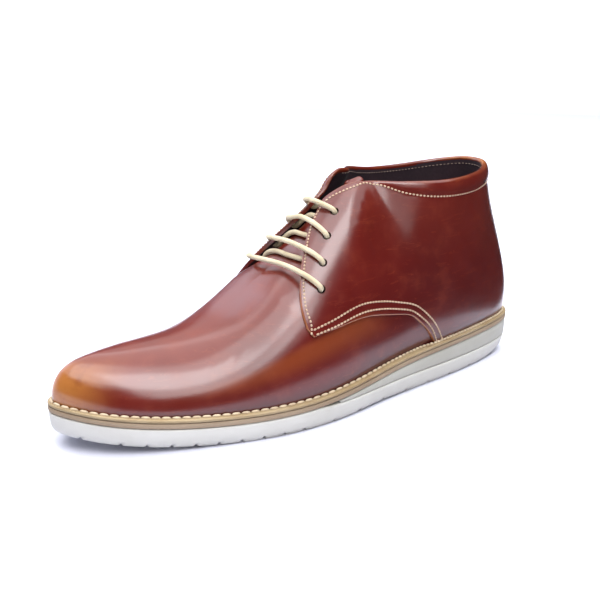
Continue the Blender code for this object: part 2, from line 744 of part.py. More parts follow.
def backstay_polygon():
    half_top, half_low, low = 0.021, 0.011, 0.36
    top = rim_v(0.0, rim_height(0.0)) - 0.035
    right = [(half_top, top), (half_top * 0.8, 0.72), (half_low * 1.1, 0.54), (half_low, low + 0.03), (half_low / 2, low)]
    return resample(right + [(-u, v) for u, v in reversed(right)] + right[:1], 6.0)


def flare(u, v):
    """How far the medial flap's top corner stands off the last."""
    s = np.abs(fold(u))
    place = smooth(0.455, 0.515, s) * (1 - smooth(0.522, 0.548, s)) * smooth(0.70, 0.88, v)
    return np.where(fold(u) < 0, MEDIAL_LIFT * place, 0.0)


def quarter_inner(u, v):
    free = smooth(0.36, 0.44, v) * smooth(0.45, 0.53, np.abs(fold(u)))
    return -QUARTER_IN + (QUARTER_IN - FLAP_IN) * free + flare(u, v)


def quarter_outer(u, v):
    """Outer face of the quarters, with the collar's soft roll below the rim."""
    rim = np.interp(fold(u), *RIM_TABLE)
    below = (rim - v) * V_METRIC
    roll = np.exp(-((below - 5.0) / 4.5) ** 2) * (1 - smooth(0.37, 0.49, np.abs(fold(u))))
    return QUARTER_OUT + COLLAR_PAD * roll + flare(u, v)


def eyelet_cutters():
    """Joined round bars along the wall's normal at each eyelet."""
    points, faces, sides = [], [], 14
    for sign in (1, -1):
        for s, v in EYELETS:
            centre, normal = last_surface(sign * s, v), last_normal(sign * s, v)
            across = np.cross(normal, (0, 0, 1.0))
            across /= np.linalg.norm(across)
            other = np.cross(normal, across)
            base = len(points)
            for depth in (-4.0, 4.5):
                for k in range(sides):
                    angle = 2 * math.pi * k / sides
                    spoke = across * math.cos(angle) + other * math.sin(angle)
                    points.append(centre + normal * depth + spoke * EYELET_RADIUS)
            ring = list(range(sides))
            faces += [[base + k for k in ring[::-1]], [base + sides + k for k in ring]]
            faces += [[base + k, base + (k + 1) % sides, base + sides + (k + 1) % sides, base + sides + k]
                      for k in ring]
    return as_cutter(mesh_object("eyelet_cutter", points, faces))


def upper():
    vamp = sheet("upper", [vamp_polygon()], lambda u, v: -VAMP_THICK + 0 * u, lambda u, v: 0 * u)
    quarter = as_cutter(sheet("quarter_form", [quarter_polygon()], quarter_inner, quarter_outer))
    stay = as_cutter(sheet("backstay_form", [backstay_polygon()], lambda u, v: 0.6 + 0 * u,
                           lambda u, v: BACKSTAY_OUT + 0 * u))
    boolean(vamp, quarter, "UNION")
    boolean(vamp, stay, "UNION")
    boolean(vamp, eyelet_cutters(), "DIFFERENCE")
    finish(vamp, "upper")


def tongue():
    obj = sheet("tongue", tongue_polygons(), lambda u, v: -TONGUE_THICK - tongue_dip(u, v),
                lambda u, v: -tongue_dip(u, v))
    finish(obj, "tongue")


# ---------------- lace ----------------
def at(s, v, out, sign=1):
    return shell(sign * s, v, out)


def hole_points(sign, index, target_over, target_under):
    """Points of the lace through one eyelet, from above the flap to below it."""
    s, v = EYELETS[index]
    centre, normal = last_surface(sign * s, v), last_normal(sign * s, v)

    def towards(target):
        flat = target - centre
        flat = flat - normal * flat.dot(normal)
        return flat / np.linalg.norm(flat)

    over, under = towards(target_over), towards(target_under)
    return [
        centre + normal * LACE_OVER + over * 3.4,
        centre + normal * (LACE_OVER - 0.9) + over * 0.7,
        centre + normal * 0.6,
        centre + normal * (LACE_UNDER + 0.9) + under * 0.7,
        centre + normal * LACE_UNDER + under * 3.4,
    ]


def slant(s, v, ridge_s, sign):
    """Points below the flap from an eyelet up to the ridge, which they cross squarely."""
    shares = (0.28, 0.5, 0.7, 0.86)
    return [at(ridge_s - (ridge_s - s) * (1 - t) ** 2, v + (1 - v) * t, LACE_UNDER, sign) for t in shares]


def lace_route():
    """Spiral lacing from the lowest lateral eyelet to the top medial one: bars above, slants below."""
    count = len(EYELETS)
    bars, route = [], []
    for ls, lv, ms, mv in BARS:
        lateral, medial = at(ls, lv, LACE_OVER), at(ms, mv, LACE_OVER, -1)
        bars.append((lateral, (lateral + medial) / 2 + np.array(BAR_ARCH), medial))
    low_s, low_v = EYELETS[-1]
    tail = at(low_s - 0.024, low_v + 0.01, LACE_UNDER)
    top_s, top_v = EYELETS[0]
    end = at(top_s - 0.020, top_v - 0.03, LACE_UNDER, -1)
    route.append(tail)
    for index in range(count - 1, -1, -1):
        lateral, middle, medial = bars[index]
        if index == count - 1:
            came_from = tail
        else:
            came_from = cross[-1]
        route += hole_points(1, index, lateral, came_from)[::-1]
        route += [lateral, middle, medial]
        if index == 0:
            route += hole_points(-1, index, medial, end) + [end]
            break
        s0, v0 = EYELETS[index]
        s1, v1 = EYELETS[index - 1]
        sc = UNDER_CROSSINGS[index - 1]
        cross = slant(s0, v0, sc, -1) + [at(sc, 1.0, LACE_UNDER)] + slant(s1, v1, sc, 1)[::-1]
        route += hole_points(-1, index, medial, cross[0]) + cross
    return route


def lace():
    route = lace_route()
    steps = np.arange(0, len(route) - 1 + 1e-9, 1 / LACE_STEPS)
    points = world(path_spline(route, steps))
    curve = bpy.data.curves.new("lace", "CURVE")
    curve.dimensions = "3D"
    curve.bevel_depth = LACE_RADIUS * MM
    curve.bevel_resolution = 2
    curve.use_fill_caps = True
    line = curve.splines.new("POLY")
    line.points.add(len(points) - 1)
    for point, place in zip(line.points, points):
        point.co = (*place, 1.0)
    curve.materials.append(material_for("lace"))
    bpy.context.collection.objects.link(bpy.data.objects.new("lace", curve))


RIM_STATIONS = np.linspace(-0.5, 0.5, 41)
RIM_TABLE = (RIM_STATIONS, [rim_v(u, rim_height(u)) for u in RIM_STATIONS])


def main():
    clear_scene()
    outsole()
    wedge()
    midsole()
    welt()
    insole()
    upper()
    tongue()
    lace()


main()
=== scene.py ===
"""Left chukka boot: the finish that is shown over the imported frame.

Sizes are millimetres in the last's own frame, as in part.py: x forward from the heel, y to the lateral
side, z up. world() turns them into the frame's metres. u goes round the foot (0 heel, +1 or -1 toe, lateral
positive) and v climbs the wall from the feather line (0) to the cone or the instep ridge (1).
"""

import math

import bmesh
import bpy
import numpy as np
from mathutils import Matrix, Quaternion, Vector

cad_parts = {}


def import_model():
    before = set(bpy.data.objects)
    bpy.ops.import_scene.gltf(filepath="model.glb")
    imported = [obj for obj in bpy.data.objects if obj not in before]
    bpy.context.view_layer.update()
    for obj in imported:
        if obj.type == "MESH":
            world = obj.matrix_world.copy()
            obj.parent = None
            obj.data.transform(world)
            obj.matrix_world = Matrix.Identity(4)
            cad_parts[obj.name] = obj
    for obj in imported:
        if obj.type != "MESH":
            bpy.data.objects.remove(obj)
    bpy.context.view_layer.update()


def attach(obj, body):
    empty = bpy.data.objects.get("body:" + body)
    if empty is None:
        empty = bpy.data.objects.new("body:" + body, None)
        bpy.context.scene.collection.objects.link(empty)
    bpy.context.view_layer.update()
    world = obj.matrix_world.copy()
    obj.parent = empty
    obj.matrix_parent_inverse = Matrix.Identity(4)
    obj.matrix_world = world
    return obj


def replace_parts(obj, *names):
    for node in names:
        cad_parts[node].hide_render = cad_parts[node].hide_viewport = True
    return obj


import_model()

MM = 0.001

# ---------------- driving sizes ----------------
HEEL_BACK, HEEL_BACK_Y = -6.5, -3.0
TOE_TIP, TOE_TIP_Y = 306.0, -1.0
SOLE_SECTIONS = (
    # x, lateral half width, medial half width
    (-1, 16.5, 21.0), (8, 22.0, 27.0), (25, 27.0, 32.0), (62, 35.0, 33.0), (105, 42.0, 28.0),
    (150, 51.5, 34.0), (190, 53.5, 44.5), (228, 46.0, 43.0), (262, 35.5, 37.0), (287, 22.5, 26.0),
    (300, 10.5, 13.5),
)
WELT_TOP = (
    # x, height of the welt's top above the floor, toe spring not counted
    (0, 26.3), (40, 25.8), (75, 24.8), (105, 23.0), (140, 19.8), (170, 17.4), (205, 16.6), (260, 16.4),
    (306, 16.2),
)
TOE_SPRING, TOE_SPRING_START = 10.4, 205.0
HEEL_SPRING, HEEL_SPRING_START = 2.4, 48.0
WAIST_LIFT = 1.0
WAIST_START, WAIST_END = 92.0, 158.0
GAP = 0.3

WELT_THICK = 1.9
WELT_CLEARANCE = 1.1
MIDSOLE_THICK = 3.0
OUTSOLE_HEEL, OUTSOLE_BALL = 10.2, 10.9
WEDGE_END = 163.0
HEEL_BEVEL = 4.5
SIDE_BEVEL = 1.4
WEDGE_TIP = 5.0
WEDGE_LEAST = 0.05
GROOVE_DEPTH = 2.2
GROOVE_MOUTH, GROOVE_FLOOR = 2.6, 1.4
HEEL_GROOVE_FIRST, HEEL_GROOVE_PITCH, HEEL_GROOVES = 42.0, 20.0, 8
TOE_GROOVE_FIRST, TOE_GROOVE_PITCH, TOE_GROOVES = 194.0, 12.0, 8
TOE_GROOVE_LAST = 295.0

# ---------------- the last ----------------
LEDGE = (
    # s, how far the last's feather line lies inside the sole's edge
    (0, 5.2), (0.313, 5.2), (0.490, 4.0), (0.853, 3.8), (1.0, 2.8),
)
LAST_SECTIONS = (
    # s, top x, top y lateral, top y medial, top z, rise, crown lateral, crown medial, flare lateral,
    # flare medial
    (0.00, 18.0, -3.0, -3.0, 140.0, 0.30, 0.50, 0.50, 0.17, 0.17),
    (0.088, 22.5, 9.0, -16.0, 140.0, 0.30, 0.50, 0.50, 0.23, 0.22),
    (0.156, 35.0, 19.0, -26.0, 140.0, 0.32, 0.48, 0.48, 0.26, 0.22),
    (0.235, 54.0, 27.0, -30.5, 140.0, 0.34, 0.45, 0.45, 0.22, 0.22),
    (0.313, 76.0, 28.5, -29.0, 140.0, 0.36, 0.40, 0.40, 0.15, 0.28),
    (0.382, 96.0, 20.5, -22.0, 140.0, 0.36, 0.40, 0.40, 0.12, 0.30),
    (0.441, 107.0, 9.5, -14.0, 139.0, 0.38, 0.42, 0.36, 0.10, 0.28),
    (0.490, 114.0, 0.0, 0.0, 135.5, 0.40, 0.45, 0.33, 0.08, 0.20),
    (0.539, 130.0, -0.5, -0.5, 121.8, 0.42, 0.50, 0.28, 0.06, 0.08),
    (0.588, 147.0, -1.0, -1.0, 107.2, 0.44, 0.54, 0.32, 0.05, 0.04),
    (0.637, 164.0, -1.8, -1.8, 91.0, 0.46, 0.56, 0.47, 0.05, 0.05),
    (0.696, 184.0, -2.5, -2.5, 71.5, 0.50, 0.58, 0.55, 0.05, 0.05),
    (0.755, 204.0, -3.0, -3.0, 57.2, 0.55, 0.60, 0.60, 0.05, 0.05),
    (0.814, 224.0, -3.2, -3.2, 50.8, 0.60, 0.62, 0.62, 0.05, 0.05),
    (0.882, 247.0, -3.0, -3.0, 49.2, 0.62, 0.64, 0.64, 0.06, 0.06),
    (0.951, 269.0, -2.2, -2.2, 48.6, 0.64, 0.66, 0.66, 0.10, 0.10),
    (1.00, 276.0, -1.6, -1.6, 48.4, 0.66, 0.68, 0.68, 0.14, 0.14),
)
COLLAR_LEAN = 0.10

# ---------------- leather ----------------
VAMP_THICK = 2.2
QUARTER_OUT = 1.8
QUARTER_IN = 1.2
FLAP_IN = 0.6
COLLAR_PAD = 1.3
TONGUE_THICK = 1.8
TONGUE_DIP = 5.2
INSOLE_THICK = 3.0
INSOLE_INSET = 7.4

TOPLINE = (
    # s, height of the rim lateral, medial
    (0.00, 129.1, 129.1), (0.05, 128.8, 129.0), (0.10, 127.4, 127.9), (0.15, 126.5, 126.2),
    (0.20, 125.9, 124.8), (0.27, 125.4, 124.1), (0.32, 125.4, 124.8), (0.36, 125.6, 126.6),
    (0.40, 125.8, 128.6), (0.44, 126.2, 129.8), (0.48, 126.3, 130.4), (0.51, 126.2, 129.5),
)
TOP_CORNER = (
    # s, v lateral, v medial: from the rim forward to the flap's top corner
    (0.523, 0.872, 0.935), (0.536, 0.912, 0.942), (0.549, 0.948, 0.950),
)
MEDIAL_LIFT = 3.0  # how far the medial flap's top corner stands off
FACING = (
    # s lateral, s medial, v: the flap's front edge, from its top corner down to its low corner
    (0.558, 0.558, 0.960), (0.588, 0.589, 0.885), (0.609, 0.610, 0.790), (0.618, 0.621, 0.700),
    (0.622, 0.628, 0.610), (0.621, 0.631, 0.520), (0.614, 0.628, 0.425), (0.600, 0.615, 0.330),
)
FLAP_CORNER = ((0.586, 0.604, 0.283),)
FLAP_FOOT = (
    # s lateral, s medial, v: the flap's lower edge, from the low corner back to the welt
    (0.553, 0.568, 0.271), (0.500, 0.514, 0.254), (0.436, 0.446, 0.256), (0.372, 0.380, 0.236),
    (0.336, 0.343, 0.174), (0.305, 0.311, 0.090), (0.282, 0.287, 0.0),
)
SEAM = (
    # s, v: where the vamp stops under the flaps and the tongue starts
    (0.706, 1.0), (0.691, 0.80), (0.662, 0.60), (0.632, 0.46),
)
TONGUE_SIDE = (
    # s lateral, s medial, v: the tongue's hidden side edge, upwards to its rounded top
    (0.608, 0.608, 0.468), (0.593, 0.593, 0.510), (0.586, 0.586, 0.580), (0.578, 0.578, 0.660),
    (0.564, 0.564, 0.740), (0.540, 0.545, 0.795), (0.506, 0.528, 0.815), (0.482, 0.522, 0.835),
    (0.474, 0.519, 0.850), (0.480, 0.517, 0.872), (0.500, 0.516, 0.915), (0.512, 0.516, 0.960),
    (0.517, 0.517, 1.0),
)
EYELETS = (
    # s, v, from the top pair down
    (0.552, 0.783), (0.571, 0.695), (0.580, 0.582), (0.581, 0.468),
)
EYELET_RADIUS, EYELET_SIDES = 2.3, 40
EYELET_LEVELS = (
    # height over the last and radius of the punch, which opens out above the leather
    (-4.0, EYELET_RADIUS), (QUARTER_OUT - 0.35, EYELET_RADIUS), (QUARTER_OUT + 0.10, EYELET_RADIUS + 0.35),
    (QUARTER_OUT + 2.5, EYELET_RADIUS + 2.4),
)
SHELL_MATERIALS = ("leather", "lining", "hole")

# ---------------- lace ----------------
LACE_RADIUS = 1.45
LACE_OVER = QUARTER_OUT + LACE_RADIUS + 0.5
LACE_UNDER = -2.9
LACE_BEND = 3.4  # reach of the turn from an eyelet to the run above or below it
LACE_STEP, LACE_SIDES = 0.8, 16
BARS = (
    # s, v where each bar passes the flap's front edge: lateral, then medial, from the top bar down
    (0.574, 0.920, 0.574, 0.920), (0.592, 0.868, 0.596, 0.868), (0.613, 0.755, 0.619, 0.770),
    (0.623, 0.640, 0.639, 0.680),
)
BAR_LIFTS = (
    # extra height of each bar at its lateral end, in the middle and at its medial end, from the top bar down
    (3.0, 3.4, 2.2), (0.5, 1.8, 0.2), (0.0, 1.2, 0.0), (0.0, 1.2, 0.0),
)
UNDER_CROSSINGS = (0.583, 0.612, 0.643)  # s at which the slants below cross the ridge, from the top down

# ---------------- finish of the upper ----------------
U_METRIC, V_METRIC = 370.0, 110.0  # mean millimetres per unit of u and of v
CELL = 1.25
FINE_STEPS = (0.0, 0.1, 0.25, 0.45, 0.7, 1.0, 1.4, 1.9, 2.5, 3.3)  # where cells lie next to a cut edge
QUARTER_LENGTH, QUARTER_HEIGHT = 215.0, 78.0  # mean lengths of a quarter that its cells are counted from
RIM_RADIUS = 1.5
RIM_ROLL = 2.3  # the leather turns over the rim this far before the lining starts
EDGE_RADIUS = 0.8
MEDIAL_EDGE_SHADE = 0.9  # on the medial side the pale cut edge starts no nearer than this, so that flap's edge keeps the dark leather colour: painted shade
FAR_FROM_EDGE = 40.0
TONGUE_EDGE = 1.0
RIDGE_END = 0.985
SEAM_LOW = 0.46
VAMP_ROWS, THROAT_ROWS, FOREPART_COLUMNS = 51, 64, 110
BACKSTAY_RISE = 0.7
BACKSTAY_LOW = 0.36
BACKSTAY_HALF_WIDTHS = (0.0075, 0.0105, 0.0121, 0.0168, 0.021)

# ---------------- stitches ----------------
COLLAR_WAVE = (
    # s, v: the collar's stitch row, which also ends the padded roll
    (0.0, 0.856), (0.06, 0.856), (0.128, 0.848), (0.19, 0.836), (0.249, 0.825), (0.295, 0.817),
    (0.346, 0.824), (0.39, 0.846), (0.412, 0.850), (0.434, 0.840), (0.464, 0.802), (0.487, 0.792),
    (0.510, 0.800), (0.538, 0.858), (0.553, 0.895),
)
# the same row's knots: s under the collar, s and v round the flap's top corner, v down its front edge
WAVE_STATIONS = (0.0, 0.07, 0.14, 0.20, 0.25, 0.295, 0.345, 0.39, 0.412, 0.436, 0.464, 0.487, 0.510, 0.532)
ROW_CORNER = ((0.546, 0.885), (0.555, 0.903), (0.565, 0.908), (0.574, 0.895))
FACING_STATIONS = (0.865, 0.79, 0.70, 0.60, 0.50, 0.40, 0.345, 0.298)
FACING_INSET = 2.7
SEAM_ROWS = (
    # s, v: the two rows over the flap's lower edge, the lower one first, from the corner back to the welt
    ((0.584, 0.290), (0.518, 0.272), (0.459, 0.278), (0.415, 0.283), (0.373, 0.264), (0.338, 0.207),
     (0.305, 0.122), (0.281, 0.02)),
    ((0.5905, 0.316), (0.545, 0.306), (0.461, 0.308), (0.416, 0.316), (0.374, 0.298), (0.332, 0.233),
     (0.292, 0.125), (0.266, 0.02)),
)
MEDIAL_ROW_SHIFT = 0.012
COLLAR_STITCH, SEAM_STITCH, LINING_STITCH = (2.2, 1.6), (2.3, 1.95), (2.4, 1.5)  # pitch, length
LINING_ROW_DROP = 3.1
STITCH_SIZE, LINING_STITCH_SIZE, BEAD_SIZE = (1.15, 0.85), (0.5, 0.45), (1.5, 1.3)  # width, height
STITCH_SIDES, BEAD_SIDES = 8, 10
STITCH_PROUD = 0.15
STITCH_PROFILE = (
    # share of the stitch's length, share of its full width
    (0.0, 0.0), (0.10, 0.62), (0.28, 0.95), (0.5, 1.0), (0.72, 0.95), (0.90, 0.62), (1.0, 0.0),
)
BEAD_INSET, BEAD_RISE, BEAD_LENGTH = 0.1, 0.25, 0.90
BEAD_PITCH_TOE, BEAD_PITCH_HEEL = 5.3, 2.9

# ---------------- creases and the sole's edges ----------------
CREASES = (
    # s, v at one end, bow in mm, s, v at the other end, width, depth in mm
    (0.51, 0.76, 3.0, 0.44, 0.56, 1.7, 0.10),
    (0.53, 0.66, -2.5, 0.46, 0.50, 1.5, 0.09),
    (0.33, 0.80, 2.0, 0.20, 0.52, 2.6, 0.16),
    (0.22, 0.70, -2.0, 0.13, 0.50, 2.2, 0.12),
    (0.730, 0.34, 3.0, 0.745, 0.66, 2.6, 0.08),
    (0.765, 0.38, 2.5, 0.790, 0.70, 2.4, 0.07),
    (-0.50, 0.72, 3.0, -0.42, 0.52, 1.8, 0.11),
    (-0.53, 0.62, -2.5, -0.46, 0.47, 1.6, 0.09),
    (-0.33, 0.78, 2.0, -0.21, 0.50, 2.8, 0.18),
    (-0.730, 0.34, 3.0, -0.745, 0.66, 2.6, 0.08),
    (-0.765, 0.38, 2.5, -0.790, 0.70, 2.4, 0.07),
)
LOOP_HALF = 150  # points of a sole loop from the heel to the toe
OUTSOLE_BEVEL = (
    # height over the tread, inset at the sides, inset at the heel
    (0.0, SIDE_BEVEL + 1.7, HEEL_BEVEL + 1.8), (0.25, SIDE_BEVEL + 1.0, HEEL_BEVEL + 1.0),
    (0.8, SIDE_BEVEL + 0.4, HEEL_BEVEL + 0.4), (1.6, SIDE_BEVEL - 0.1, HEEL_BEVEL - 0.3), (3.0, 0.8, 3.3),
    (4.6, 0.5, 2.4), (6.5, 0.3, 1.6),
)
OUTSOLE_SHOULDER = (
    # drop below the outsole's top, inset at the sides, inset at the heel
    (1.4, 0.2, 0.9), (0.8, 0.25, 0.9), (0.35, 0.4, 1.0), (0.1, 0.65, 1.2), (0, 1.0, 1.5),
)
WEDGE_SIDE = (
    # share of the wedge's height, inset at the sides, inset at the heel
    (0.0, 0.9, 1.2), (0.04, 0.5, 0.8), (0.12, 0.35, 0.62), (0.5, 0.28, 0.45), (0.88, 0.3, 0.35),
    (0.96, 0.45, 0.5), (1.0, 0.8, 0.9),
)
WEDGE_FRONT = (WEDGE_END - WEDGE_TIP, 340.0, 90.0, 80.0)  # cut off: from x, to x, half width, half height
# share of the height, inset
MIDSOLE_SIDE = ((0.0, 0.8), (0.07, 0.3), (0.2, 0.05), (0.5, 0.0), (0.8, 0.05), (0.93, 0.3), (1.0, 0.8))
WELT_SIDE = ((0.0, 0.6), (0.15, 0.2), (0.4, 0.0), (0.65, 0.05), (0.85, 0.25), (0.96, 0.55), (1.0, 0.95))
# height, inset
INSOLE_SIDE = ((0.0, 0.0), (INSOLE_THICK - 0.8, 0.0), (INSOLE_THICK - 0.2, 0.4), (INSOLE_THICK, 1.2))


# ---------------- curves and the last ----------------
def spline(knots, values):
    """The natural cubic through the rows, as a function of the knot value."""
    k = np.array(knots, float)
    y = np.array(values, float)
    h = np.diff(k)
    n = len(k)
    a = np.eye(n)
    b = np.zeros(n)
    for i in range(1, n - 1):
        a[i, i - 1:i + 2] = h[i - 1], 2 * (h[i - 1] + h[i]), h[i]
        b[i] = 6 * ((y[i + 1] - y[i]) / h[i] - (y[i] - y[i - 1]) / h[i - 1])
    m = np.linalg.solve(a, b)

    def at(t):
        t = np.asarray(t, float)
        i = np.clip(np.searchsorted(k, t, side="right") - 1, 0, n - 2)
        p, q = k[i + 1] - t, t - k[i]
        bend = (m[i] * p ** 3 + m[i + 1] * q ** 3) / (6 * h[i])
        return bend + (y[i] / h[i] - m[i] * h[i] / 6) * p + (y[i + 1] / h[i] - m[i + 1] * h[i] / 6) * q

    return at


def closed_spline(knots, values, period):
    """A periodic cubic: rows are repeated on both sides of the one period that is read."""
    wrap = 6
    k = [t - period for t in knots[-wrap:]] + list(knots) + [t + period for t in knots[:wrap]]
    y = list(values[-wrap:]) + list(values) + list(values[:wrap])
    return spline(k, y)


def run_along(points):
    """The distance travelled at each point of a path."""
    return np.concatenate([[0], np.cumsum(np.linalg.norm(np.diff(points, axis=0), axis=1))])


def unit(vector):
    return vector / np.linalg.norm(vector)


def distinct(face):
    """The face's corners with repeats dropped."""
    return list(dict.fromkeys(int(corner) for corner in face))


def path_spline(points, count):
    """A smooth open curve through the given points, read at count places spread evenly over their rows."""
    p = np.array(points, float)
    chord = run_along(p)
    at_chord = np.interp(np.linspace(0, len(p) - 1, count), np.arange(len(p)), chord)
    return np.stack([spline(chord, p[:, i])(at_chord) for i in range(p.shape[1])], -1)


def smooth(start, end, x):
    t = np.clip((np.asarray(x, float) - start) / (end - start), 0, 1)
    return t * t * (3 - 2 * t)


def outline_sides(n=400):
    """Per side, heel back to toe tip: fraction of the length, x, y and the outward normal."""
    points = [(HEEL_BACK, HEEL_BACK_Y)]
    points += [(x, lateral) for x, lateral, medial in SOLE_SECTIONS]
    points += [(TOE_TIP, TOE_TIP_Y)]
    points += [(x, -medial) for x, lateral, medial in reversed(SOLE_SECTIONS)]
    p = np.array(points)
    knots = run_along(np.concatenate([p, p[:1]]))
    period = knots[-1]
    fx = closed_spline(list(knots[:-1]), list(p[:, 0]), period)
    fy = closed_spline(list(knots[:-1]), list(p[:, 1]), period)
    toe = knots[len(SOLE_SECTIONS) + 1]
    step = 1e-3
    sides = []
    for start in (0.0, period):
        t = np.linspace(start, toe, n)
        x, y = fx(t), fy(t)
        length = np.concatenate([[0], np.cumsum(np.hypot(np.diff(x), np.diff(y)))])
        dx, dy = fx(t + step) - fx(t - step), fy(t + step) - fy(t - step)
        size = np.hypot(dx, dy)
        sides.append((length / length[-1], x, y, -dy / size, dx / size))
    return sides


SIDES = outline_sides()
WELT_CURVE = spline([x for x, z in WELT_TOP], [z for x, z in WELT_TOP])


def fold(u):
    return (np.asarray(u, float) + 1) % 2 - 1


def edge_of_sole(u, inset=0.0):
    """x, y on the outline moved inward by inset, and the outward normal there."""
    w = fold(u)
    both = [[np.interp(np.abs(w), side[0], values) for values in side[1:]] for side in SIDES]
    x, y, nx, ny = (np.where(w >= 0, lateral, medial) for lateral, medial in zip(*both))
    return x - nx * inset, y - ny * inset, nx, ny


def ledge_at(s):
    """How far the last's feather line lies inside the sole's edge."""
    return np.interp(s, *np.array(LEDGE).T)


def spring(x):
    """How far the toe and the very back of the heel curl up from the floor."""
    x = np.asarray(x, float)
    toe = np.clip(x - TOE_SPRING_START, 0, None) / (TOE_TIP - TOE_SPRING_START)
    heel = np.clip(HEEL_SPRING_START - x, 0, None) / (HEEL_SPRING_START - HEEL_BACK)
    return TOE_SPRING * toe ** 2 + HEEL_SPRING * heel ** 2


def tread(x):
    """Height of the sole's underside: flat under heel and ball, lifted at the waist, toe and heel back."""
    waist = np.clip((np.asarray(x, float) - WAIST_START) / (WAIST_END - WAIST_START), 0, 1)
    return spring(x) + WAIST_LIFT * np.sin(math.pi * waist) ** 2


def welt_top(x):
    return WELT_CURVE(np.clip(x, 0, TOE_TIP)) + spring(x)


def midsole_top(x):
    return welt_top(x) - WELT_THICK - GAP


def midsole_bottom(x):
    return midsole_top(x) - MIDSOLE_THICK


def upper_foot(x):
    """Height at which the upper, the welt and the insole start."""
    return midsole_top(x) + GAP


def wedge_bottom(x):
    share = np.asarray(x, float) / WEDGE_END
    return OUTSOLE_HEEL + (OUTSOLE_BALL - OUTSOLE_HEEL) * share + GAP + spring(np.minimum(x, WEDGE_END))


def outsole_top(x):
    """Under the wedge, then ramped up to the midsole just ahead of the wedge's front edge."""
    low = wedge_bottom(x) - GAP
    high = midsole_bottom(x) - GAP
    return low + (high - low) * smooth(WEDGE_END, WEDGE_END + 10, x)


def last_column(index, medial_index=None):
    """One column of LAST_SECTIONS as a closed curve over u, with its own values on the medial side."""
    medial_index = index if medial_index is None else medial_index
    pairs = [(-row[0], row[medial_index]) for row in reversed(LAST_SECTIONS[1:])]
    pairs += [(row[0], row[index]) for row in LAST_SECTIONS[:-1]]
    return closed_spline([k for k, _ in pairs], [v for _, v in pairs], 2.0)


TOP_X, TOP_Y, TOP_Z = last_column(1), last_column(2, 3), last_column(4)
RISE, CROWN, FLARE = last_column(5), last_column(6, 7), last_column(8, 9)


def last_surface(u, v):
    """The last's wall: a Bezier section from the feather line up to the cone or the instep ridge."""
    u, v = np.broadcast_arrays(np.asarray(u, float), np.asarray(v, float))
    w = fold(u)
    s = np.abs(w)
    fx, fy, nx, ny = edge_of_sole(w, ledge_at(s))
    fz = upper_foot(fx)
    tx, ty, tz = TOP_X(w), TOP_Y(w), TOP_Z(w)
    rise = RISE(w) * (tz - fz)
    low = (fx + rise * FLARE(w) * nx, fy + rise * FLARE(w) * ny, fz + rise)
    fall = CROWN(w) * (tz - fz)
    collar = (tx + fall * COLLAR_LEAN * nx, ty + fall * COLLAR_LEAN * ny, tz - fall)
    ahead = (fx - tx) * smooth(0.80, 1.0, s)
    ridge = (tx + CROWN(w) * ahead, ty + CROWN(w) * (fy - ty), tz)
    turn = smooth(0.37, 0.53, s)
    high = [c * (1 - turn) + r * turn for c, r in zip(collar, ridge)]
    weights = ((1 - v) ** 3, 3 * v * (1 - v) ** 2, 3 * v * v * (1 - v), v ** 3)
    corners = ((fx, fy, fz), low, high, (tx, ty, tz))
    return sum(weight[..., None] * np.stack(corner, -1) for weight, corner in zip(weights, corners))


def last_normal(u, v, step=1e-4):
    u, v = np.asarray(u, float), np.asarray(v, float)
    along = last_surface(u + step, v) - last_surface(u - step, v)
    up = last_surface(u, v + step) - last_surface(u, v - step)
    normal = np.cross(up, along)
    return normal / np.linalg.norm(normal, axis=-1, keepdims=True)


def shell(u, v, out):
    """A point out millimetres outside the last."""
    u, v, out = np.broadcast_arrays(np.asarray(u, float), np.asarray(v, float), np.asarray(out, float))
    points = last_surface(u, v) + last_normal(u, v) * out[..., None]
    points[..., 2] = np.maximum(points[..., 2], upper_foot(points[..., 0]))
    return points


def midpoint(values):
    return (values.min() + values.max()) / 2


SHIFT = np.array([*(midpoint(values) for values in edge_of_sole(np.linspace(-1, 1, 801))[:2]), 0.0])


def world(points):
    """The frame's metres from the last's millimetres."""
    return (np.asarray(points, float) - SHIFT) * MM


# ---------------- mesh building ----------------
def mesh_object(name, points, faces, layers=(), materials=(), kinds=None, sharp=None):
    """An object from millimetre points; layers are (name, per-point pairs) kept as UV maps.

    materials are names in MATERIALS, kinds the index of each face's material.
    """
    mesh = bpy.data.meshes.new(name)
    mesh.from_pydata(world(points).tolist(), [], [list(f) for f in faces])
    corner = np.empty(len(mesh.loops), np.int32)
    mesh.loops.foreach_get("vertex_index", corner)
    for layer, pairs in layers:
        uv = mesh.uv_layers.new(name=layer)
        uv.data.foreach_set("uv", np.asarray(pairs, np.float32)[corner].ravel())
    for material in materials:
        mesh.materials.append(MATERIALS[material])
    if kinds is not None:
        mesh.polygons.foreach_set("material_index", np.asarray(kinds, np.int32))
    mesh.shade_smooth()
    if sharp is not None:
        mesh.set_sharp_from_angle(angle=math.radians(sharp))
    obj = bpy.data.objects.new(name, mesh)
    bpy.context.scene.collection.objects.link(obj)
    return obj


def outward(obj):
    """Turns every face outwards."""
    shape = bmesh.new()
    shape.from_mesh(obj.data)
    bmesh.ops.recalc_face_normals(shape, faces=shape.faces)
    shape.to_mesh(obj.data)
    shape.free()
    return obj


def grid(rows, columns, start=0, wrap=False):
    """Quads over a rows by columns block of points stored row after row."""
    i = np.arange(rows - 1)[:, None]
    j = np.arange(columns if wrap else columns - 1)[None, :]
    k = (j + 1) % columns
    a, b = start + i * columns + j, start + (i + 1) * columns + j
    c, d = start + (i + 1) * columns + k, start + i * columns + k
    return np.stack(np.broadcast_arrays(a, b, c, d), -1).reshape(-1, 4).tolist()


def circle(centre, across, other, sides):
    """Points round a centre on the ellipse with the half axes across and other."""
    angles = 2 * math.pi * np.arange(sides) / sides
    return [centre + across * math.cos(a) + other * math.sin(a) for a in angles]


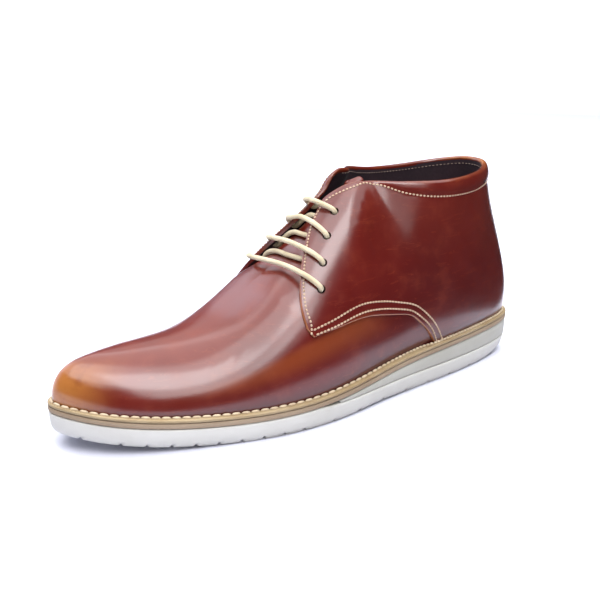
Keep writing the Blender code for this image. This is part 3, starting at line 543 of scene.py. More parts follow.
def spaced(length, cell, fine_start, fine_end):
    """Fractions of a length with cells that shrink towards the chosen ends."""
    steps = np.array(FINE_STEPS)
    low = steps if fine_start else np.array([0.0])
    high = length - steps[::-1] if fine_end else np.array([float(length)])
    middle = high[0] - low[-1]
    count = max(2, int(round(middle / cell)))
    return np.concatenate([low[:-1], np.linspace(low[-1], high[0], count + 1), high[1:]]) / length


def nearest(points, line):
    """Distance from each point to a dense line of points."""
    out = np.empty(len(points))
    for start in range(0, len(points), 4000):
        part = points[start:start + 4000]
        out[start:start + 4000] = np.sqrt(((part[:, None] - line[None]) ** 2).sum(-1)).min(1)
    return out


def rounded(distance, radius):
    """How far a rounded edge falls below its face at this distance from the edge."""
    x = np.clip(distance / radius, 0, 1)
    return radius * (1 - np.sqrt(np.clip(1 - (1 - x) ** 2, 0, 1)))


# ---------------- outlines of the leather pieces in (u, v) ----------------
def rim_v(u, height):
    """v where the wall's outer face reaches the given height."""
    v = np.linspace(0.4, 1.0, 121)
    z = shell(np.full(len(v), float(u)), v, QUARTER_OUT)[:, 2]
    return float(np.interp(height, z, v))


RIM_HEIGHTS = [spline([row[0] for row in TOPLINE], [row[side] for row in TOPLINE]) for side in (1, 2)]
RIM_STATIONS = np.linspace(0, TOPLINE[-1][0], 35)


def softened(s, v, width):
    """A profile v(s) from the heel line on, mirrored there and smoothed over a width in s."""
    fine = np.linspace(s[0], s[-1], 900)
    value = np.interp(fine, s, v)
    reach = int(3 * width / (fine[1] - fine[0]))
    kernel = np.exp(-0.5 * (np.arange(-reach, reach + 1) * (fine[1] - fine[0]) / width) ** 2)
    padded = np.pad(value, reach, mode="edge")
    padded[:reach] = value[reach:0:-1]
    return fine, np.convolve(padded, kernel / kernel.sum(), mode="valid")


def one_side(rows, medial):
    """(s, v) of rows that hold s lateral, s medial, v."""
    return np.array([(row[1] if medial else row[0], row[-1]) for row in rows])


def top_profile(medial):
    """v of the rim as a function of s, from the heel forward to the flap's top corner."""
    sign = -1 if medial else 1
    rim = [rim_v(sign * s, float(RIM_HEIGHTS[int(medial)](s))) for s in RIM_STATIONS]
    s = np.concatenate([RIM_STATIONS, [row[0] for row in TOP_CORNER], [FACING[0][int(medial)]]])
    v = np.concatenate([rim, [row[1 + medial] for row in TOP_CORNER], [FACING[0][2]]])
    return softened(s, v, 0.005)


TOP_PROFILES = (top_profile(False), top_profile(True))


def rim_at(u):
    w = fold(u)
    return np.where(w < 0, np.interp(np.abs(w), *TOP_PROFILES[1]), np.interp(np.abs(w), *TOP_PROFILES[0]))


def wave_at(u):
    """v of the collar's stitch row; the medial one keeps the lateral one's distance from its rim."""
    s = np.abs(fold(u))
    lateral = np.interp(s, *np.array(COLLAR_WAVE).T)
    shift = np.where(fold(u) < 0, np.interp(s, *TOP_PROFILES[1]) - np.interp(s, *TOP_PROFILES[0]), 0.0)
    return lateral + shift * (1 - smooth(0.50, 0.55, s))


def front_profile(medial):
    """s of the flap's front edge as a function of v, low corner first."""
    rows = path_spline(one_side(FACING, medial), 80)[::-1]
    return np.concatenate([one_side(FLAP_CORNER, medial), rows])


def foot_profile(medial):
    """v of the flap's lower edge as a function of s, from the welt forward to the low corner."""
    rows = path_spline(one_side(FLAP_FOOT, medial), 80)[::-1]
    return np.concatenate([[(0.0, 0.0)], rows, one_side(FLAP_CORNER, medial)])


def quarter_uv(kappa, t, medial):
    """Grid of (s, v): kappa runs from the heel line to the flap's edge, t from the lower edge to the rim."""
    front, foot = front_profile(medial), foot_profile(medial)
    k, h = np.meshgrid(kappa, t, indexing="ij")
    height = front[0, 1] + (front[-1, 1] - front[0, 1]) * h
    reach = np.interp(height, front[:, 1], front[:, 0])
    s = k * reach
    low = np.interp(k * np.interp(front[0, 1], front[:, 1], front[:, 0]), foot[:, 0], foot[:, 1])
    high = np.interp(k * np.interp(front[-1, 1], front[:, 1], front[:, 0]), *TOP_PROFILES[int(medial)])
    return s, low + (high - low) * h


# ---------------- relief ----------------
def crease_relief(u, v):
    """Listed soft troughs, each with a low ridge on both sides."""
    x, y = fold(u) * U_METRIC, v * V_METRIC
    total = np.zeros(np.shape(x))
    for s0, v0, bend, s1, v1, width, depth in CREASES:
        p, q = np.array([s0 * U_METRIC, v0 * V_METRIC]), np.array([s1 * U_METRIC, v1 * V_METRIC])
        span = q - p
        side = np.array([-span[1], span[0]]) / np.linalg.norm(span)
        share = ((x - p[0]) * span[0] + (y - p[1]) * span[1]) / (span ** 2).sum()
        along = np.clip(share, 0, 1)
        centre = p[:, None] + span[:, None] * along.ravel() + side[:, None] * (
            bend * 4 * along.ravel() * (1 - along.ravel()))
        d = np.hypot(x.ravel() - centre[0], y.ravel() - centre[1]).reshape(np.shape(x))
        fade = np.sin(math.pi * along) ** 0.6
        trough = np.exp(-(d / width) ** 2)
        ridge = np.exp(-((d - 1.9 * width) / (0.9 * width)) ** 2)
        total += depth * fade * (0.40 * ridge - trough)
    return total


def waviness(u, v):
    """Slow unevenness of hand-pulled leather."""
    x, y = u * U_METRIC, v * V_METRIC
    slow = 0.08 * np.sin(x / 21 + 1.3 * np.sin(y / 15)) * np.sin(y / 14 + 0.7)
    return slow + 0.025 * np.sin(x / 9.3 + y / 11.1)


def flare(u, v):
    """How far the medial flap's top corner stands off the last."""
    s = np.abs(fold(u))
    place = smooth(0.455, 0.515, s) * (1 - smooth(0.522, 0.548, s)) * smooth(0.70, 0.88, v)
    return np.where(fold(u) < 0, MEDIAL_LIFT * place, 0.0)


def quarter_inner(u, v):
    free = smooth(0.36, 0.44, v) * smooth(0.45, 0.53, np.abs(fold(u)))
    return -QUARTER_IN + (QUARTER_IN - FLAP_IN) * free + flare(u, v)


def quarter_outer(u, v):
    """Outer face of the quarters: the collar's padded roll between the rim and its stitch row."""
    s = np.abs(fold(u))
    rim, wave = rim_at(u), wave_at(u)
    share = np.clip((rim - v) / np.maximum(rim - wave, 0.01), 0, 1)
    pad = (4 * share * (1 - share)) ** 0.8 * COLLAR_PAD * (1 - smooth(0.28, 0.46, s))
    seat = 0.22 * np.exp(-((v - wave) * V_METRIC / 1.0) ** 2) * (1 - smooth(0.30, 0.44, s))
    return QUARTER_OUT + pad - seat + flare(u, v)


def quarter_surface(u, v):
    fade = smooth(0.02, 0.10, v)
    return quarter_outer(u, v) + fade * (crease_relief(u, v) + waviness(u, v))


def leather_maps(u, v, d_edge, d_rim):
    """What the leather's material reads: place on the hide, distance to the cut edges, place on the foot."""
    u, v, d_edge, d_rim = np.broadcast_arrays(u, v, d_edge, d_rim)
    maps = (("grain", u * (U_METRIC * MM), v * (V_METRIC * MM)), ("edge", d_edge, d_rim),
            ("tone", np.abs(fold(u)), v))
    return [(name, np.stack([a, b], -1).reshape(-1, 2)) for name, a, b in maps]


def edge_line(medial):
    """Dense points of the flap's free edge, from the welt round the low corner up to the top corner."""
    sign = -1 if medial else 1
    foot, front = foot_profile(medial)[1:], front_profile(medial)
    s = np.concatenate([foot[:-1, 0], front[:, 0]])
    v = np.concatenate([foot[:-1, 1], front[:, 1]])
    rows, known = np.linspace(0, len(s) - 1, 900), np.arange(len(s))
    return shell(sign * np.interp(rows, known, s), np.interp(rows, known, v), QUARTER_OUT)


def rim_line(sign):
    s, v = TOP_PROFILES[0 if sign > 0 else 1]
    return shell(sign * s, v, QUARTER_OUT)


def quarters_uv():
    """(u, v) of one grid for both quarters, from the medial flap round the heel to the lateral one."""
    kappa = spaced(QUARTER_LENGTH, CELL, False, True)
    t = spaced(QUARTER_HEIGHT, CELL, True, True)
    (medial_s, medial_v), (s, v) = quarter_uv(kappa, t, True), quarter_uv(kappa, t, False)
    return np.concatenate([-medial_s[::-1], s[1:]]), np.concatenate([medial_v[::-1], v[1:]])


def shell_faces(rows, columns, edge):
    """Faces of the outer side, of the inner side and of the free edge; edge holds its points' indices.

    The points are the outer side's, then the inner side's, then the middle line of the free edge.
    """
    total = rows * columns
    inside = np.arange(total, 2 * total).reshape(rows, columns)
    inside[:, -1] -= total  # the rim's points belong to both sides
    inside = inside.ravel()
    outer = grid(rows, columns)
    inner = [[int(inside[k]) for k in face[::-1]] for face in outer]
    hem = []
    for k, (a, b) in enumerate(zip(edge, edge[1:]), 2 * total):
        hem += [distinct([a, k, k + 1, b]), distinct([k, inside[a], inside[b], k + 1])]
    return outer, inner, [face for face in hem if len(face) > 2]


def quarters():
    """Both quarters as one leather shell with rounded edges, and its lining inside."""
    u, v = quarters_uv()
    flat = shell(u.ravel(), v.ravel(), QUARTER_OUT)
    d_edge = nearest(flat, np.concatenate([edge_line(True), edge_line(False)])).reshape(u.shape)
    d_rim = nearest(flat, np.concatenate([rim_line(-1), rim_line(1)])).reshape(u.shape)
    d_edge[-1], d_edge[0] = 0, 0
    d_rim[:, -1] = 0
    outer, inner = quarter_surface(u, v), quarter_inner(u, v)
    middle, half = (outer + inner) / 2, (outer - inner) / 2
    curl = np.sqrt(np.clip(1 - (1 - np.clip(d_rim / RIM_RADIUS, 0, 1)) ** 2, 0, 1))
    outer = (middle + half * curl - rounded(d_edge, EDGE_RADIUS) * curl).ravel()
    inner = (middle - half * curl).ravel()
    # the free edge: down the front, along the foot and up the other front
    ids = np.arange(u.size).reshape(u.shape)
    edge = np.concatenate([ids[0, ::-1], ids[1:, 0], ids[-1, 1:]])
    # the medial flap's cut edge gets no pale edge colour: painted shade
    layers = leather_maps(u, v, np.maximum(d_edge, np.where(u < 0, MEDIAL_EDGE_SHADE, 0.0)), d_rim)
    maps = [(name, np.concatenate([pairs, pairs, pairs[edge]])) for name, pairs in layers]
    out_faces, in_faces, hem = shell_faces(*u.shape, edge)
    u, v, d_rim = u.ravel(), v.ravel(), d_rim.ravel()
    wall = shell(u[edge], v[edge], (outer[edge] + inner[edge]) / 2)
    points = np.concatenate([shell(u, v, outer), shell(u, v, inner), wall])
    rolled = [0 if d_rim[face].max() < RIM_ROLL else 1 for face in out_faces]
    kinds = [0] * len(out_faces) + rolled + [0] * len(hem)
    whole = mesh_object("quarters", points, out_faces + in_faces + hem, maps, SHELL_MATERIALS, kinds)
    whole = cut(outward(whole), eyelet_cutter())
    whole.data.set_sharp_from_angle(angle=math.radians(34))
    return whole


def eyelet_cutter():
    """Round bars along the wall's normal at each eyelet, joined in one mesh."""
    points, faces, sides = [], [], EYELET_SIDES
    for sign in (1, -1):
        for s, v in EYELETS:
            centre, normal = last_surface(sign * s, v), last_normal(sign * s, v)
            across = unit(np.cross(normal, (0, 0, 1.0)))
            base = len(points)
            for height, radius in EYELET_LEVELS:
                other = np.cross(normal, across)
                points += circle(centre + normal * height, across * radius, other * radius, sides)
            faces += [list(range(base, base + sides))[::-1], list(range(len(points) - sides, len(points)))]
            faces += grid(len(EYELET_LEVELS), sides, base, wrap=True)
    layers = leather_maps(np.full(len(points), 0.57), 0.6, 0.6, 0.6)
    return outward(mesh_object("eyelet_cutter", points, faces, layers, SHELL_MATERIALS, [2] * len(faces)))


SEAM_CURVE = spline([row[1] for row in SEAM[::-1]], [row[0] for row in SEAM[::-1]])


def seam_s(v):
    return SEAM_CURVE(np.clip(v, SEAM[-1][1], 1.0))


def tongue_dip(u, v):
    """The tongue sinks slowly under the flaps behind the seam; it is level with the vamp in front of it."""
    return TONGUE_DIP * smooth(0.0, 0.074, seam_s(v) - np.abs(fold(u))) * smooth(0.40, 0.52, v)


def vamp_surface(u, v):
    calm = 0.6 * (1 - smooth(0.72, 0.96, v))
    return -tongue_dip(u, v) + smooth(0.02, 0.10, v) * (crease_relief(u, v) + calm * waviness(u, v))


HIDDEN_REAR = (
    # s, v: the vamp's rear edge under the quarters, from the welt up to the tongue
    (0.230, 0.0), (0.240, 0.08), (0.264, 0.17), (0.313, 0.27), (0.372, 0.315), (0.46, 0.34), (0.549, 0.36),
    (0.600, 0.39),
)


def rear_profile(medial):
    """s of the hidden rear edge of the vamp, then of the tongue's side, as a function of v."""
    path = path_spline(one_side(TONGUE_SIDE, medial) * (U_METRIC, V_METRIC), 160)
    rows = np.concatenate([HIDDEN_REAR, path / (U_METRIC, V_METRIC)])
    return rows[:, 1], rows[:, 0]


JOIN = (
    # v, s: the mesh column that follows the seam between vamp and tongue and runs on below it
    (0.0, 0.50), (0.30, 0.59), (0.46, 0.632), (0.60, 0.662), (0.80, 0.691), (1.0, 0.706),
)


def vamp_shell(u, v, out):
    """As shell, with one steady normal round the point where the ridge ends at the toe."""
    u, v, out = (np.asarray(a, float).ravel() for a in np.broadcast_arrays(u, v, out))
    steady = np.where(v > RIDGE_END, v + (RIDGE_END - v) * smooth(0.955, 0.975, np.abs(fold(u))), v)
    points = last_surface(u, v) + last_normal(u, steady) * out[:, None]
    points[:, 2] = np.maximum(points[:, 2], upper_foot(points[:, 0]))
    return points


TONGUE_CELLS = spaced(60, 1.1, True, False)


def forepart_uv():
    """(u, v) of one grid from the lateral rear edge over the ridge to the medial one."""
    v = np.concatenate([np.linspace(0, SEAM_LOW, VAMP_ROWS + 1)[:-1], np.linspace(SEAM_LOW, 1, THROAT_ROWS)])
    ahead = np.linspace(0, 1, FOREPART_COLUMNS) ** 0.94
    join = np.interp(v, *np.array(JOIN).T)
    halves = []
    for medial in (False, True):
        rear = np.interp(v, *rear_profile(medial))
        left = rear[:, None] + (join - rear)[:, None] * TONGUE_CELLS[None]
        right = join[:, None] + (1 - join)[:, None] * ahead[None]
        halves.append(np.concatenate([left[:, :-1], right], 1))
    u = np.concatenate([halves[0], 2 - halves[1][:, -2::-1]], 1)
    return u, np.broadcast_to(v[:, None], u.shape)


def tongue_gap(u, v, flat):
    """Distance to the tongue's free edge; a large number far from it."""
    first = VAMP_ROWS + 20
    edge = np.concatenate([flat[first:, 0], flat[first:, -1]])
    fine = np.array([a + (b - a) * t for a, b in zip(edge, edge[1:]) if np.linalg.norm(b - a) < 9
                     for t in (0.0, 0.33, 0.66)])
    gap = np.full(u.shape, 20.0)
    near = (v > 0.60) & (np.abs(fold(u)) < 0.60)
    gap[near] = nearest(flat[near], fine)
    high = v[:, 0] > 0.6
    gap[high, 0] = gap[high, -1] = 0
    return gap


def joined(rows):
    """A block whose last row, the ridge, has one set of points for both sides."""
    half = rows.shape[1] // 2
    rows[-1, :half:-1] = rows[-1, :half]
    return rows


def split_faces(ids):
    """The vamp's faces and the tongue's: those above the seam's low end and behind the seam."""
    rows, columns = ids.shape
    behind = len(TONGUE_CELLS) - 1
    vamp, tongue = [], []
    for i in range(rows - 1):
        for j in range(columns - 1):
            face = distinct([ids[i, j], ids[i + 1, j], ids[i + 1, j + 1], ids[i, j + 1]])
            if len(face) > 2:
                hidden = i >= VAMP_ROWS and not behind <= j < columns - 1 - behind
                (tongue if hidden else vamp).append(face[::-1])
    return vamp, tongue


def vertex_normals(points, faces):
    """The smooth normals of a whole surface, which its pieces share."""
    whole = mesh_object("whole", points, faces)
    normals = np.empty(len(points) * 3)
    whole.data.vertices.foreach_get("normal", normals)
    bpy.data.objects.remove(whole, do_unlink=True)
    return normals.reshape(-1, 3)


def piece_of(name, points, faces, layers, normals):
    """A leather piece of a larger surface, with the points that its faces use."""
    used = np.unique([corner for face in faces for corner in face])
    order = {int(old): new for new, old in enumerate(used)}
    faces = [[order[corner] for corner in face] for face in faces]
    maps = [(layer, pairs[used]) for layer, pairs in layers]
    obj = mesh_object(name, points[used], faces, maps, ["leather"])
    obj.data.normals_split_custom_set_from_vertices(normals[used].tolist())
    return obj


def vamp_and_tongue():
    """One smooth surface over the forefoot and up the throat, split where the vamp meets the tongue."""
    u, v = forepart_uv()
    block_shape = (*u.shape, 3)
    out, lobe = vamp_surface(u, v), smooth(0.70, 0.80, v)
    flat = vamp_shell(u, v, out).reshape(block_shape)
    out = out - lobe * rounded(tongue_gap(u, v, flat), TONGUE_EDGE)
    deep = out - np.where(lobe > 0.5, TONGUE_THICK, VAMP_THICK)
    top, low = (joined(vamp_shell(u, v, face).reshape(block_shape)).reshape(-1, 3) for face in (out, deep))
    ids = joined(np.arange(u.size).reshape(u.shape))
    layers = leather_maps(u, v, FAR_FROM_EDGE, FAR_FROM_EDGE)
    vamp_faces, tongue_faces = split_faces(ids)
    faces = vamp_faces + tongue_faces
    normals = vertex_normals(top, faces)
    vamp = piece_of("vamp", top, vamp_faces, layers, normals)
    tongue = piece_of("tongue_face", top, tongue_faces, layers, normals)
    # the undersides, as dark lining: the tongue's closes its edge, the vamp's lies inside
    first, last = ids[:, 0].tolist(), ids[:, -1].tolist()
    closing = [*zip(first, first[1:]), *zip(last[1:], last)]
    under = [face[::-1] for face in faces] + [[a, b, b + u.size, a + u.size] for a, b in closing]
    maps = [(name, np.concatenate([pairs, pairs])) for name, pairs in layers]
    return vamp, tongue, mesh_object("vamp_lining", np.concatenate([low, top]), under, maps, ["lining"])


# ---------------- backstay ----------------
def backstay():
    """The strip up the back seam, wider upwards, with rounded ends."""
    top = float(rim_at(0.0)) - 0.035
    low = BACKSTAY_LOW
    v = low + (top - low) * spaced(60, 1.2, True, True)
    half = np.interp(v, [low, low + 0.03, 0.54, 0.72, top], BACKSTAY_HALF_WIDTHS)
    ends = np.minimum(v - low, top - v) * V_METRIC
    half = half * np.sqrt(np.clip(1 - (1 - np.clip(ends / 3.0, 0.02, 1)) ** 2, 0, 1))
    a = np.linspace(-1, 1, 25)
    u = half[:, None] * a[None]
    vv = np.broadcast_to(v[:, None], u.shape)
    d = np.minimum((1 - np.abs(a))[None] * half[:, None] * U_METRIC, ends[:, None])
    out = quarter_surface(u, vv) + BACKSTAY_RISE - rounded(d, 0.6)
    out[:, [0, -1]] -= 0.5
    points = shell(u.ravel(), vv.ravel(), out.ravel())
    layers = leather_maps(u, vv, d, FAR_FROM_EDGE)
    return mesh_object("backstay", points, [f[::-1] for f in grid(*u.shape)], layers, ["leather"])


# ---------------- stitches ----------------
def capsules(name, lines, size, material, sides=STITCH_SIDES):
    """Rounded stitches; each line is (start, end, normal) in millimetres."""
    width, height = size
    points, faces, pairs = [], [], []
    for start, end, normal in lines:
        axis = end - start
        across = unit(np.cross(axis, normal))
        normal = unit(np.cross(across, axis))
        first = len(points) + 1
        for place, share in STITCH_PROFILE:
            centre = start + axis * place + normal * height * STITCH_PROUD * (0.3 + 0.7 * share)
            across_half, up_half = across * width / 2 * share, normal * height / 2 * share
            ring = circle(centre, across_half, up_half, sides if share else 1)
            points += ring
            run = place * np.linalg.norm(axis) * MM
            pairs += [(run, k / sides * width * 3 * MM) for k in range(len(ring))]
        last = len(points) - 1 - sides
        faces += [[first - 1, first + (k + 1) % sides, first + k] for k in range(sides)]
        faces += grid(len(STITCH_PROFILE) - 2, sides, first, wrap=True)
        faces += [[last + sides, last + k, last + (k + 1) % sides] for k in range(sides)]
    return outward(mesh_object(name, points, faces, [("grain", pairs)], [material]))


def row_lines(u, v, height, pitch, length):
    """Stitches of an even pitch along a path of (u, v) on a face at height(u, v)."""
    run = run_along(shell(u, v, height(u, v)))
    count = int(run[-1] / pitch)
    pitch = run[-1] / count
    lines = []
    for centre in pitch * (np.arange(count) + 0.5):
        places = [centre - length / 2, centre + length / 2]
        pu, pv = np.interp(places, run, u), np.interp(places, run, v)
        a, b = shell(pu, pv, height(pu, pv))
        lines.append((a, b, last_normal(pu.mean(), pv.mean())))
    return lines


def collar_row(medial):
    """(u, v) of the row that runs under the rim, round the flap's top corner and down its front edge."""
    sign = -1 if medial else 1
    front = front_profile(medial)
    back_s = np.array(WAVE_STATIONS)
    back = np.stack([back_s, wave_at(sign * back_s)], -1)
    down_s = np.interp(FACING_STATIONS, front[1:, 1], front[1:, 0]) - FACING_INSET / U_METRIC
    down = np.stack([down_s, FACING_STATIONS], -1)
    path = np.concatenate([back, ROW_CORNER, down]) * (U_METRIC, V_METRIC)
    p = path_spline(path, 1400) / (U_METRIC, V_METRIC)
    return sign * p[:, 0], p[:, 1]


def stitches():
    """The rows on the outside of the quarters, and the one inside below the rim."""
    outer, inner = [], []
    for sign in (1, -1):
        outer += row_lines(*collar_row(sign < 0), quarter_surface, *COLLAR_STITCH)
        for row in SEAM_ROWS:
            s, v = path_spline(row, 500).T
            shift = 0.0 if sign > 0 else MEDIAL_ROW_SHIFT * smooth(0.35, 0.58, s)
            outer += row_lines(sign * (s + shift), v, quarter_surface, *SEAM_STITCH)
        s = np.linspace(0.0, 0.50, 400)
        v = rim_at(sign * s) - LINING_ROW_DROP / V_METRIC
        rows = row_lines(sign * s, v, lambda p, q: quarter_inner(p, q) - 0.1, *LINING_STITCH)
        inner += [(a, b, -normal) for a, b, normal in rows]
    return (capsules("upper_stitches", outer, STITCH_SIZE, "thread"),
            capsules("lining_stitches", inner, LINING_STITCH_SIZE, "dull_thread"))


def bead_lines():
    """Big beads of the welt stitch, lying in the crease between the upper's foot and the welt."""
    u = np.linspace(-1, 1, 2401)
    x, y, nx, ny = edge_of_sole(u, welt_inner(u) + BEAD_INSET)
    path = np.stack([x, y, upper_foot(x) + WELT_THICK + BEAD_RISE], -1)
    run = run_along(path)
    lines = []
    place = 0.0
    while place < run[-1]:
        here = float(np.interp(place, run, np.abs(fold(u))))
        pitch = BEAD_PITCH_HEEL + (BEAD_PITCH_TOE - BEAD_PITCH_HEEL) * float(smooth(0.30, 0.52, here))
        ends = [place, place + pitch * BEAD_LENGTH]
        a, b = np.stack([np.interp(ends, run, path[:, i]) for i in range(3)], -1)
        normal = np.array([np.interp(place, run, nx), np.interp(place, run, ny), 0.0]) * 0.55 + (0, 0, 0.85)
        lines.append((a, b, normal))
        place += pitch
    return lines


# ---------------- sole ----------------
def loop_fractions():
    """u of a loop's points, closer together at the heel and the toe."""
    t = np.linspace(0, 1, LOOP_HALF + 1)
    s = t - 0.07 * np.sin(2 * math.pi * t)
    return np.concatenate([s, -s[-2:0:-1]])


def loop(inset, height):
    """A closed loop of points; inset is a number or a function of u, height a function of x."""
    u = loop_fractions()
    x, y, nx, ny = edge_of_sole(u)
    depth = inset(u) if callable(inset) else inset
    px, py = x - nx * depth, y - ny * depth
    return np.stack([px, py, height(px) + 0 * px], -1)


def raised(base, rise):
    return lambda x: base(x) + rise


def side_and_heel(side, heel):
    """An inset that grows from side to heel round the back."""
    return lambda u: side + (heel - side) * (1 - smooth(0.03, 0.18, np.abs(u)))


def sole_part(name, rows, material, ladder=True, sharp=40):
    """A solid from (inset, height) rows, lowest first, bridged, then capped or joined into a ring."""
    loops = [loop(inset, height) for inset, height in rows]
    count = len(loops[0])
    points = np.concatenate(loops)
    faces = grid(len(loops), count, wrap=True)
    last = (len(loops) - 1) * count
    if ladder:
        for start, turn in ((0, 1), (last, -1)):
            for i in range(count // 2):
                face = [i, i + 1, (count - i - 1) % count, (count - i) % count]
                faces.append([start + corner for corner in distinct(face)][::turn])
    else:
        faces += [[last + i, i, (i + 1) % count, last + (i + 1) % count] for i in range(count)]
    u = np.tile(loop_fractions(), len(loops))
    pairs = np.stack([u * U_METRIC * MM, points[:, 2] * MM], -1)
    return outward(mesh_object(name, points, faces, [("grain", pairs)], [material], sharp=sharp))


def groove_cutter():
    """Bars across the tread that narrow upwards, joined in one mesh."""
    points, faces = [], []
    reach, below = 70.0, 3.0  # how far the bars reach past the sole's sides and below its tread
    stations = [HEEL_GROOVE_FIRST + HEEL_GROOVE_PITCH * i for i in range(HEEL_GROOVES)]
    stations += [TOE_GROOVE_FIRST + TOE_GROOVE_PITCH * i for i in range(TOE_GROOVES)] + [TOE_GROOVE_LAST]
    for x in stations:
        slope = float(tread(x + 1) - tread(x - 1)) / 2
        along = np.array([1, 0, slope]) / math.hypot(1, slope)
        up = np.array([-along[2], 0, along[0]])
        widen = (GROOVE_MOUTH - GROOVE_FLOOR) / GROOVE_DEPTH / 2
        section = [(-GROOVE_FLOOR / 2, GROOVE_DEPTH), (GROOVE_FLOOR / 2, GROOVE_DEPTH),
                   (GROOVE_MOUTH / 2 + widen * below, -below), (-GROOVE_MOUTH / 2 - widen * below, -below)]
        base = len(points)
        for y in (-reach, reach):
            points += [np.array([x, y, float(tread(x))]) + along * a + up * b for a, b in section]
        faces += [[base + k for k in (0, 1, 2, 3)], [base + k for k in (7, 6, 5, 4)]]
        faces += [[base + k for k in (i, i + 4, (i + 1) % 4 + 4, (i + 1) % 4)] for i in range(4)]
    return outward(mesh_object("groove_cutter", points, faces))


def cut(obj, cutter):
    """Takes the cutter's space out of the object and drops the cutter."""
    modifier = obj.modifiers.new("cut", "BOOLEAN")
    modifier.operation = "DIFFERENCE"
    modifier.object = cutter
    modifier.solver = "EXACT"
    graph = bpy.context.evaluated_depsgraph_get()
    mesh = bpy.data.meshes.new_from_object(obj.evaluated_get(graph))
    obj.modifiers.clear()
    obj.data = mesh
    bpy.data.objects.remove(cutter, do_unlink=True)
    return obj


def block(name, x0, x1, y, z):
    """A box round the x axis."""
    points = [(a, b, c) for a in (x0, x1) for b in (-y, y) for c in (-z, z)]
    faces = [(0, 1, 3, 2), (4, 6, 7, 5), (0, 4, 5, 1), (2, 3, 7, 6), (0, 2, 6, 4), (1, 5, 7, 3)]
    return outward(mesh_object(name, points, faces))


def outsole():
    rows = [(side_and_heel(side, heel), raised(tread, rise)) for rise, side, heel in OUTSOLE_BEVEL]
    rows += [(side_and_heel(side, heel), raised(outsole_top, -drop)) for drop, side, heel in OUTSOLE_SHOULDER]
    return cut(sole_part("outsole_foam", rows, "outsole"), groove_cutter())


def wedge_top(x):
    return np.maximum(midsole_bottom(x) - GAP, wedge_bottom(x) + WEDGE_LEAST)


def wedge():
    def level(share):
        return lambda x: wedge_bottom(x) * (1 - share) + wedge_top(x) * share

    rows = [(side_and_heel(side, heel), level(share)) for share, side, heel in WEDGE_SIDE]
    return cut(sole_part("wedge_foam", rows, "wedge"), block("front", *WEDGE_FRONT))


def midsole():
    rows = [(inset, raised(midsole_bottom, MIDSOLE_THICK * share)) for share, inset in MIDSOLE_SIDE]
    return sole_part("midsole_board", rows, "midsole")


def welt_inner(u):
    """How far the welt reaches in under the upper's foot."""
    s = np.abs(fold(u))
    return ledge_at(s) - QUARTER_OUT * (1 - smooth(0.28, 0.32, s)) - WELT_CLEARANCE


def welt():
    rows = [(inset, raised(upper_foot, WELT_THICK * share)) for share, inset in WELT_SIDE]
    rows += [(lambda u: welt_inner(u) + 0.9, raised(upper_foot, rise)) for rise in (WELT_THICK, 0.0)]
    return sole_part("welt_strip", rows, "welt", False, 50)


def insole():
    rows = [(INSOLE_INSET + inset, raised(upper_foot, rise)) for rise, inset in INSOLE_SIDE]
    return sole_part("insole_lining", rows, "lining")


# ---------------- lace ----------------
def hole_points(sign, index, target_over, target_under):
    """Points of the lace through one eyelet, from above the flap to below it."""
    s, v = EYELETS[index]
    centre, normal = last_surface(sign * s, v), last_normal(sign * s, v)

    def towards(target):
        flat = target - centre
        return unit(flat - normal * flat.dot(normal))

    over, under = towards(target_over), towards(target_under)
    return [
        centre + normal * LACE_OVER + over * LACE_BEND,
        centre + normal * (LACE_OVER - 0.9) + over * 0.7,
        centre + normal * 0.6,
        centre + normal * (LACE_UNDER + 0.9) + under * 0.7,
        centre + normal * LACE_UNDER + under * LACE_BEND,
    ]


def slant(s, v, ridge_s, sign):
    """Points below the flap from an eyelet up to the ridge, which they cross squarely."""
    return [shell(sign * (ridge_s - (ridge_s - s) * (1 - t) ** 2), v + (1 - v) * t, LACE_UNDER)
            for t in (0.28, 0.5, 0.7, 0.86)]


def lace_route():
    """Spiral lacing from the lowest lateral eyelet to the top medial one: bars above, slants below."""
    (low_s, low_v), (top_s, top_v) = EYELETS[-1], EYELETS[0]
    route = [shell(low_s - 0.024, low_v + 0.01, LACE_UNDER)]
    end = shell(0.020 - top_s, top_v - 0.03, LACE_UNDER)
    for index in reversed(range(len(EYELETS))):
        (ls, lv, ms, mv), (one, mid, two) = BARS[index], BAR_LIFTS[index]
        lateral, medial = shell(ls, lv, LACE_OVER), shell(-ms, mv, LACE_OVER)
        bar = [lateral + (0, 0, one), (lateral + medial) / 2 + (0.6, 0, mid), medial + (0, 0, two)]
        if index:
            crossing = UNDER_CROSSINGS[index - 1]
            below = slant(*EYELETS[index], crossing, -1) + [shell(crossing, 1.0, LACE_UNDER)]
            below += slant(*EYELETS[index - 1], crossing, 1)[::-1]
        else:
            below = [end]
        route += hole_points(1, index, bar[0], route[-1])[::-1] + bar
        route += hole_points(-1, index, bar[2], below[0]) + below
    return route


